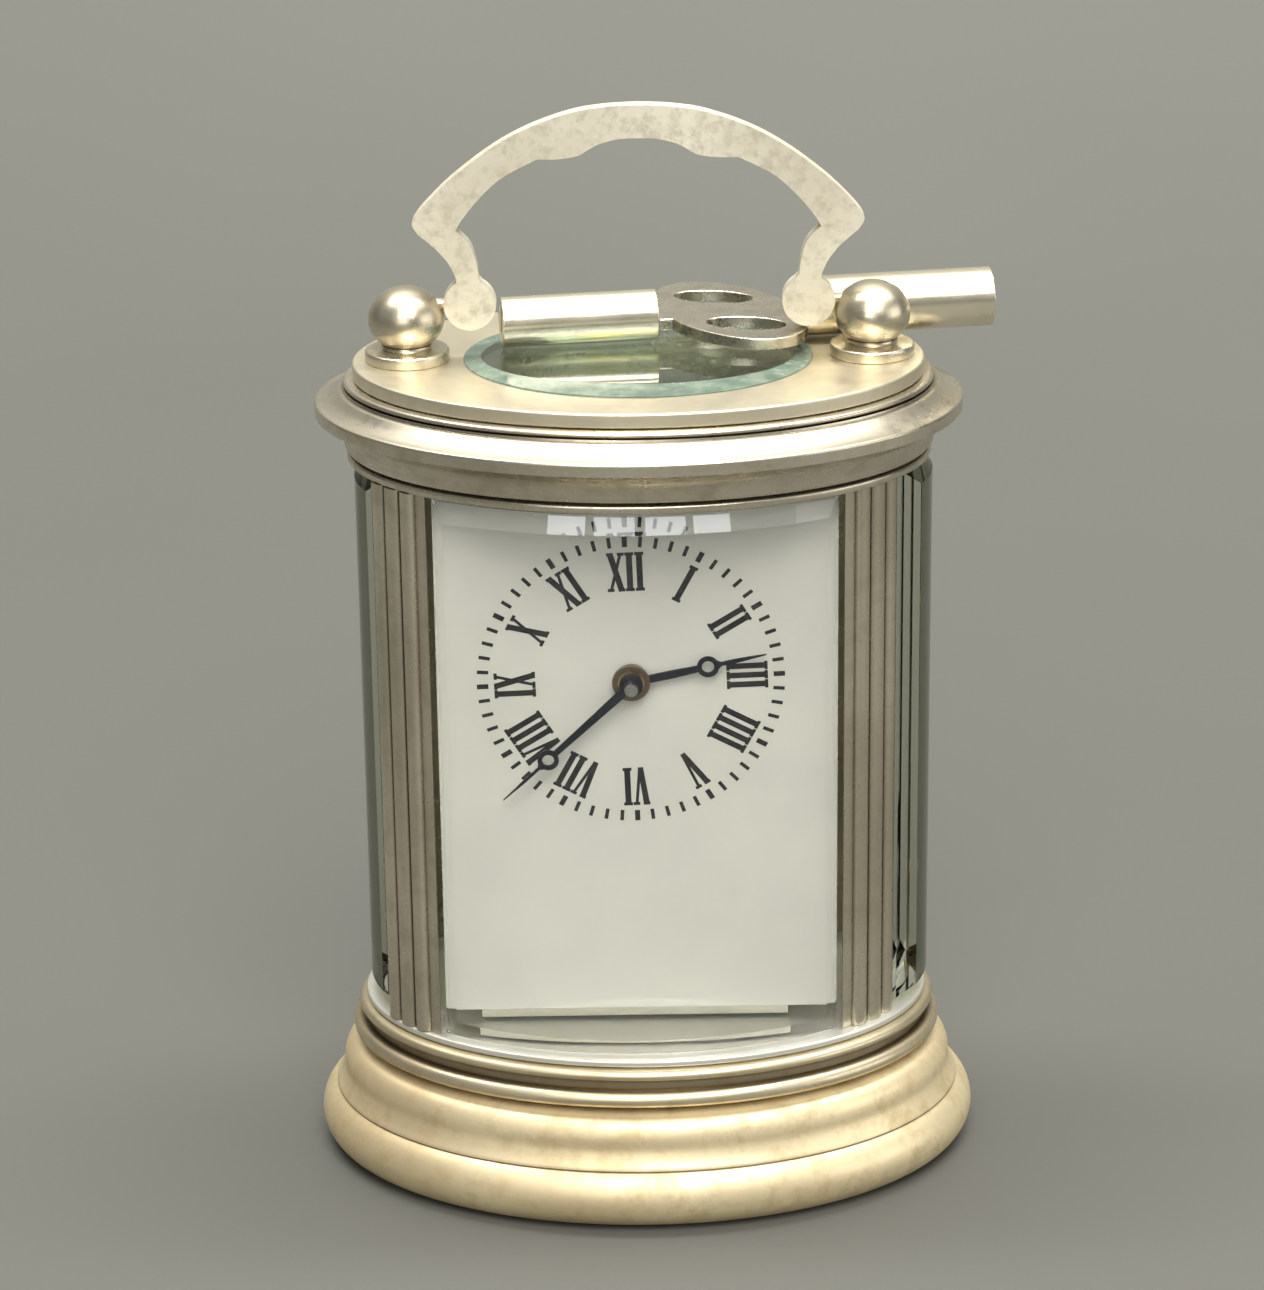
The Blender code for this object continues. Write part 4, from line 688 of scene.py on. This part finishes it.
def bail_half():
    """The right half of the bail's outline in mm, from the arch's top down round its disc and back."""
    low, high = extents("handle")
    centre_x = (low.x + high.x) / 2
    pivot = next(Vector(j["pos_m"]) for j in frame["joints"] if j["name"] == "handle_fold") / MM
    disc_x, disc_radius = 15.15, 2.35
    shoulder = spline([(0, high.z), (3.0, 99.75), (6.0, 99.25), (9.7, 97.95), (13.0, 96.15), (16.4, 93.6),
                       (18.6, 91.5), (19.75, 90.15), (20.1, 89.3), (19.6, 88.4)], 6)
    neck = spline([(19.6, 88.4), (18.1, 87.1), (16.95, 85.7), (16.3, 84.3)], 6)
    disc = arc((disc_x, pivot.z), (disc_radius, disc_radius), 60, -240, 48)
    inside = spline([(14.3, 84.3), (14.5, 85.9), (15.05, 87.5), (16.25, 88.75)], 6)
    sweep = spline([(16.25, 88.75), (15.6, 89.8), (14.2, 91.5), (12.0, 93.5), (8.9, 95.1)], 6)
    scallop = spline([(8.9, 95.1), (7.2, 95.1), (5.4, 95.35), (4.2, 96.0), (3.3, 96.45), (1.6, 96.85),
                      (0, 96.9)], 5)
    half = shoulder + neck[1:] + disc + inside + sweep[1:] + scallop[1:]
    return centre_x, half, disc_x, pivot.z


def build_handle():
    centre_x, half, disc_x, pivot_z = bail_half()
    outline = [(centre_x + x, z) for x, z in half + [(-x, z) for x, z in reversed(half[1:-1])]]
    thickness = extents("handle")[1].y - extents("handle")[0].y
    bail = add_piece("bail_handle", upright([outline], -thickness / 2, thickness / 2), "stamped", ["handle"])
    soften(bail, 0.16)
    for word, side in (("left", -1), ("right", 1)):
        pin = turned([(0, 3.4), (0.48, 3.4), (0.5, 3.3), (0.5, 0.0), (0.0, 0.0)], 32)
        pin.transform(Matrix.Translation(Vector((centre_x + side * disc_x, 0, pivot_z)) * MM)
                      @ Matrix.Rotation(math.radians(90 * side), 4, "Y"))
        add_piece("handle_pin_" + word, pin, "turned", [], "handle")


# ---------------------------------------------------------------- key


BOW_SPAN = (14.3, 27.7)     # where the bow starts and ends along the key, in mm


def key_axis():
    """A frame with X along the key, from the centres of its two tubes."""
    setting = extents("key_setting_tube")
    winding = extents("key_winding_tube")
    small, large = 2.3, 2.7
    run = (winding[0] + winding[1] - setting[0] - setting[1]).normalized()
    reach = Vector([math.sqrt(1 - part * part) for part in run])
    start = setting[0] + small * reach
    end = winding[1] - large * reach
    along = (end - start).normalized()
    across = Vector((0, 0, 1)).cross(along).normalized()
    rotation = Matrix((along, across, along.cross(across))).transposed().to_4x4()
    return Matrix.Translation(start * MM) @ rotation, (end - start).length


def build_key():
    place, length = key_axis()
    bow_from, bow_to = BOW_SPAN
    turn = Matrix.Rotation(math.radians(90), 4, "Y")
    for name, node, start, end, radius, square in (
            ("setting_tube", "key_setting_tube", 0.1, bow_from - 0.05, 2.3, 1.3),
            ("winding_tube", "key_winding_tube", bow_to + 0.05, length - 0.1, 2.7, 1.6)):
        bore = []
        for corner in range(4):
            turn_start = math.radians(45 + 90 * corner)
            bore.append((square * 1.41 * math.cos(turn_start), square * 1.41 * math.sin(turn_start)))
        mesh = extruded([circle(0, 0, radius, 64), bore], start, end)
        mesh.transform(place @ turn)
        soften(add_piece(name, mesh, "key", [node]), 0.18)
    build_bow(place)


def tilted_oval(centre, long_half, short_half, turn_degrees, steps):
    turn = math.radians(turn_degrees)
    points = []
    for i in range(steps):
        angle = 2 * math.pi * i / steps
        along, across = long_half * math.cos(angle), short_half * math.sin(angle)
        points.append((centre[0] + along * math.cos(turn) - across * math.sin(turn),
                       centre[1] + along * math.sin(turn) + across * math.cos(turn)))
    return points


def build_bow(place):
    """The stamped bow: a flat slanted oval with two slanted holes, soldered between the tubes."""
    start, end = BOW_SPAN
    middle = (start + end) / 2
    neck = 1.7
    oval = tilted_oval((0, 0), 9.2, 5.7, 117, 120)
    outline = []
    for x, y in oval:
        if abs(y) < neck:
            if outline and abs(outline[-1][0] - math.copysign(end - middle, x)) < 1e-6:
                continue
            sides = (-neck, neck) if x > 0 else (neck, -neck)
            outline += [(math.copysign(end - middle, x), side) for side in sides]
        else:
            outline.append((x, y))
    outline = [(middle + x, y) for x, y in dict.fromkeys(outline)]
    holes = [tilted_oval((middle + side * 0.9, -side * 3.9), 3.6, 1.7, -18, 40) for side in (-1, 1)]
    mesh = extruded([outline] + holes, -0.55, 0.55)
    mesh.transform(place @ Matrix.Translation((0, 0, -0.5 * MM)) @ Matrix.Rotation(math.radians(3), 4, "X"))
    soften(add_piece("key_bow_plate", mesh, "bow", ["key_bow"]), 0.25, 4)


# ---------------------------------------------------------------- dial

DIAL_LOW, DIAL_HIGH = extents("dial")
DIAL_FRONT = DIAL_LOW.y
HAND_JOINT = next(Vector(j["pos_m"]) for j in frame["joints"] if j["name"] == "centre_turn") / MM
DIAL_CENTRE = (HAND_JOINT.x, HAND_JOINT.z)
PRINT_TURN = -1.9       # degrees the printing sits off upright
TICK_OUTER = 13.6
NUMERAL_INNER = 8.45
NUMERAL_OUTER = 12.1


def stroke(start, end, width_start, width_end=None):
    """A straight stroke as four corners."""
    width_end = width_start if width_end is None else width_end
    a, b = Vector(start), Vector(end)
    along = (b - a).normalized()
    side = Vector((-along.y, along.x))
    return [tuple(a - side * width_start / 2), tuple(b - side * width_end / 2),
            tuple(b + side * width_end / 2), tuple(a + side * width_start / 2)]


def letter_strokes(letter, x, height):
    """A Roman letter's strokes with its left edge at x, and its width."""
    thick, thin, serif = 0.54, 0.27, 0.29
    half = height / 2
    if letter == "I":
        width = 0.88
        middle = x + width / 2
        strokes = [stroke((middle, -half), (middle, half), thick)]
        strokes += [stroke((x + 0.04, s * (half - serif / 2)), (x + width - 0.04, s * (half - serif / 2)), serif)
                    for s in (-1, 1)]
        return strokes, width
    width = 1.5 if letter == "V" else 1.55
    left, right = x + 0.3, x + width - 0.3
    if letter == "V":
        foot = x + width / 2
        strokes = [stroke((left, half - 0.05), (foot, -half), thick, thick * 0.9),
                   stroke((right, half - 0.05), (foot + 0.06, -half), thin)]
        ends = ((left, 1), (right, 1))
    else:
        strokes = [stroke((left, half - 0.05), (right, 0.05 - half), thick),
                   stroke((right, half - 0.05), (left, 0.05 - half), thin)]
        ends = ((left, 1), (right, 1), (left, -1), (right, -1))
    for end, s in ends:
        strokes.append(stroke((end - 0.3, s * (half - serif / 2)), (end + 0.3, s * (half - serif / 2)), serif))
    return strokes, width


def numeral(word, turn, radius, height):
    """A numeral whose feet point to the dial's centre, as outlines in dial coordinates."""
    total = sum(letter_strokes(letter, 0.0, height)[1] for letter in word)
    x = -total / 2
    outlines = []
    for letter in word:
        strokes, width = letter_strokes(letter, x, height)
        x += width
        outlines += strokes
    placed = []
    for outline in outlines:
        points = []
        for u, v in outline:
            reach = radius + v
            points.append((DIAL_CENTRE[0] + u * math.cos(turn) + reach * math.sin(turn),
                           DIAL_CENTRE[1] - u * math.sin(turn) + reach * math.cos(turn)))
        placed.append(points)
    return placed


def printed(outlines, height=0.012):
    """Ink printed on the dial's face; strokes that cross lie at slightly different heights."""
    shapes = []
    for i, outline in enumerate(outlines):
        lift = height + 0.001 * (i % 7)
        shapes.append(upright([outline], DIAL_FRONT - lift, DIAL_FRONT + 0.01))
    return merged(shapes)


def build_dial():
    outline = []
    corner = 0.5
    for cx, cz, start in ((DIAL_HIGH.x - corner, DIAL_HIGH.z - corner, 0), (DIAL_LOW.x + corner, DIAL_HIGH.z - corner, 90),
                          (DIAL_LOW.x + corner, DIAL_LOW.z + corner, 180), (DIAL_HIGH.x - corner, DIAL_LOW.z + corner, 270)):
        outline += arc((cx, cz), (corner, corner), start, start + 90, 6)
    hole = circle(*DIAL_CENTRE, 1.45, 48)
    plate = add_piece("enamel_dial", upright([outline, hole], DIAL_FRONT, DIAL_HIGH.y), "enamel", ["dial"])
    soften(plate, 0.12)
    ticks = []
    for i in range(60):
        turn = math.radians(PRINT_TURN + 6 * i)
        width = 0.46 if i % 5 == 0 else 0.33
        inner = TICK_OUTER - 1.0
        points = []
        for u, reach in ((-width / 2, inner), (width / 2, inner), (width / 2, TICK_OUTER), (-width / 2, TICK_OUTER)):
            points.append((DIAL_CENTRE[0] + u * math.cos(turn) + reach * math.sin(turn),
                           DIAL_CENTRE[1] - u * math.sin(turn) + reach * math.cos(turn)))
        ticks.append(points)
    add_piece("minute_track", printed(ticks), "ink", [], "case")
    words = ("XII", "I", "II", "III", "IIII", "V", "VI", "VII", "VIII", "IX", "X", "XI")
    radius = (NUMERAL_INNER + NUMERAL_OUTER) / 2
    height = NUMERAL_OUTER - NUMERAL_INNER
    for hour, word in enumerate(words):
        outlines = numeral(word, math.radians(PRINT_TURN + 30 * hour), radius, height)
        add_piece(f"numeral_{hour:02d}", printed(outlines), "ink", [], "case")


def hand_shape(length, ring_at, ring_outer, ring_inner, base_half, waist_half, shoulder):
    """A hand along +X: tapered blade, pierced ring and a leaf point; outer loop and hole."""
    near = math.degrees(math.asin(min(0.9, waist_half / ring_outer)))
    top = [(0.5, base_half), (ring_at * 0.55, waist_half * 1.25)]
    top += arc((ring_at, 0), (ring_outer, ring_outer), 180 - near, 24, 20)
    top += spline([(ring_at + ring_outer + 0.25, shoulder), (ring_at + ring_outer + 0.9, shoulder * 1.1),
                   ((ring_at + ring_outer + length) / 2, shoulder), (length, 0.03)], 5)
    outline = top + [(x, -y) for x, y in reversed(top)]
    return [outline, circle(ring_at, 0, ring_inner, 32)]


def build_hand(name, node, body, look, turn_degrees, shape, boss, bore, front, thickness):
    """A blued hand; turn_degrees is clockwise from the upright of the dial."""
    blade = upright(shape, 0, thickness)
    collet = upright([circle(0, 0, boss, 48), circle(0, 0, bore, 32)], -0.12, thickness + 0.1)
    place = (Matrix.Translation(Vector((DIAL_CENTRE[0], front, DIAL_CENTRE[1])) * MM)
             @ Matrix.Rotation(math.radians(turn_degrees - 90), 4, "Y"))
    for mesh in (blade, collet):
        mesh.transform(place)
    soften(add_piece(name, blade, look, [node]), 0.04, 2)
    return soften(add_piece(name + "_collet", collet, "bronze" if body == "hour_wheel" else look, [], body),
                  0.08, 2)


def build_hands():
    hour_front = extents("hour_hand")[0].y
    minute_front = extents("minute_hand")[0].y
    build_hand("hour_hand_blade", "hour_hand", "hour_wheel", "blued_steel", 78,
               hand_shape(12.2, 6.95, 0.98, 0.55, 0.36, 0.3, 0.17), 1.68, 1.18, hour_front + 0.05, 0.22)
    build_hand("minute_hand_blade", "minute_hand", "centre_arbor", "blued_steel", 226.5,
               hand_shape(15.8, 10.25, 0.95, 0.52, 0.42, 0.26, 0.12), 1.05, 0.62, minute_front + 0.05, 0.22)
    tip = turned([(0, 0.25), (0.25, 0.22), (0.45, 0.1), (0.5, 0.0), (0.5, -1.2), (0, -1.2)], 32)
    tip.transform(Matrix.Translation(Vector((DIAL_CENTRE[0], minute_front + 0.05, DIAL_CENTRE[1])) * MM)
                  @ Matrix.Rotation(math.radians(90), 4, "X"))
    add_piece("arbor_tip", tip, "steel", [], "centre_arbor")


# ---------------------------------------------------------------- carried-over CAD nodes


PALE_PLATES = ("movement_front_plate", "movement_back_plate", "platform")


def dress_movement():
    """The movement's CAD nodes keep their shapes and get metal looks."""
    looks = {"silvered_brass": "case", "glass": "glass", "enamel": "enamel", "brass": "brass",
             "steel": "steel", "blued_steel": "blued_steel"}
    for name, node in NODES.items():
        if node.hide_render:
            continue
        node.data.materials.clear()
        look = "pale_brass" if name in PALE_PLATES else looks[SLOT_OF[name]]
        node.data.materials.append(LOOKS[look])


# ---------------------------------------------------------------- stage


def area_light(name, place, target, size, power, colour=(1, 1, 1)):
    data = bpy.data.lights.new(name, "AREA")
    data.shape = "RECTANGLE"
    data.size, data.size_y = size
    data.energy = power
    data.color = colour
    lamp = bpy.data.objects.new(name, data)
    bpy.context.scene.collection.objects.link(lamp)
    lamp.location = place
    lamp.rotation_euler = (Vector(target) - Vector(place)).to_track_quat("-Z", "Y").to_euler()
    return lamp


def build_stage():
    builder = bmesh.new()
    half, front, back, rise, radius = 4.0, -6.0, 0.75, 1.4, 0.5
    profile = [(front, 0.0), (back - radius, 0.0)]
    for i in range(1, 13):
        turn = math.radians(90 * i / 12)
        profile.append((back - radius + radius * math.sin(turn), radius - radius * math.cos(turn)))
    profile.append((back, rise))
    rows = [[builder.verts.new((x, y, z)) for x in (-half, half)] for y, z in profile]
    for near, far in zip(rows, rows[1:]):
        builder.faces.new((near[0], near[1], far[1], far[0]))
    mesh = finished(builder)
    mesh.materials.append(floor_cloth("backdrop_sheet"))
    mesh.shade_smooth()
    sheet = bpy.data.objects.new("backdrop", mesh)
    bpy.context.scene.collection.objects.link(sheet)
    middle = (0, 0, 0.05)
    area_light("key_light", (0.05, -0.58, 0.82), middle, (0.5, 0.38), 7.5, (1.0, 0.985, 0.94))
    area_light("overhead", (0.05, 0.1, 0.95), middle, (1.5, 1.1), 7.0, (1.0, 0.985, 0.94))
    area_light("front_fill", (-0.2, -1.2, 0.35), middle, (0.6, 0.4), 2.2, (1.0, 0.99, 0.96))
    area_light("right_fill", (1.1, -0.45, 0.25), middle, (0.9, 0.8), 3.8, (1.0, 0.98, 0.94))
    area_light("backdrop_wash", (0.0, 0.1, 1.1), (0, 0.75, 0.65), (1.2, 0.3), 30.0, (1.0, 0.99, 0.96))
    for i in range(4):
        area_light(f"window_pane_{i}", (0.27 * (i - 1.4), -1.0, 0.72), middle, (0.22, 0.10), 0.6,
                   (0.94, 0.97, 1.0))
    world = bpy.data.worlds.new("studio")
    bpy.context.scene.world = world
    world.use_nodes = True
    tree = world.node_tree
    coordinates = tree.nodes.new("ShaderNodeTexCoord")
    split = tree.nodes.new("ShaderNodeSeparateXYZ")
    tree.links.new(coordinates.outputs["Generated"], split.inputs["Vector"])
    sky = tree.nodes.new("ShaderNodeValToRGB")
    sky.color_ramp.elements[0].position = 0.0
    sky.color_ramp.elements[0].color = (0.42, 0.42, 0.385, 1.0)
    sky.color_ramp.elements[1].position = 0.8
    sky.color_ramp.elements[1].color = (0.62, 0.63, 0.64, 1.0)
    tree.links.new(split.outputs["Z"], sky.inputs["Fac"])
    tree.links.new(sky.outputs["Color"], tree.nodes["Background"].inputs["Color"])
    tree.nodes["Background"].inputs["Strength"].default_value = 0.3
    bpy.context.scene.view_settings.view_transform = "Standard"


def build_camera():
    data = bpy.data.cameras.new("camera")
    data.sensor_fit = "VERTICAL"
    data.sensor_height = 36.0
    data.lens = 118.2
    data.shift_x = -0.0075
    data.shift_y = -0.001
    data.clip_start = 0.01
    camera = bpy.data.objects.new("camera", data)
    bpy.context.scene.collection.objects.link(camera)
    middle = Vector((0, 0, 49.142)) * MM
    distance = 390.655 * MM
    azimuth = math.radians(-0.321)
    elevation = math.radians(20.235)
    roll = math.radians(-0.699)
    outward = Vector((math.sin(azimuth) * math.cos(elevation), -math.cos(azimuth) * math.cos(elevation),
                      math.sin(elevation)))
    camera.location = middle + outward * distance
    facing = (-outward).to_track_quat("-Z", "Y").to_matrix().to_4x4()
    camera.rotation_euler = (facing @ Matrix.Rotation(roll, 4, "Z")).to_euler()
    bpy.context.scene.camera = camera


build_base()
build_cornice()
build_top()
build_glasses()
build_pilasters()
build_door()
build_finials()
build_handle()
build_key()
build_dial()
build_hands()
dress_movement()
build_stage()
build_camera()
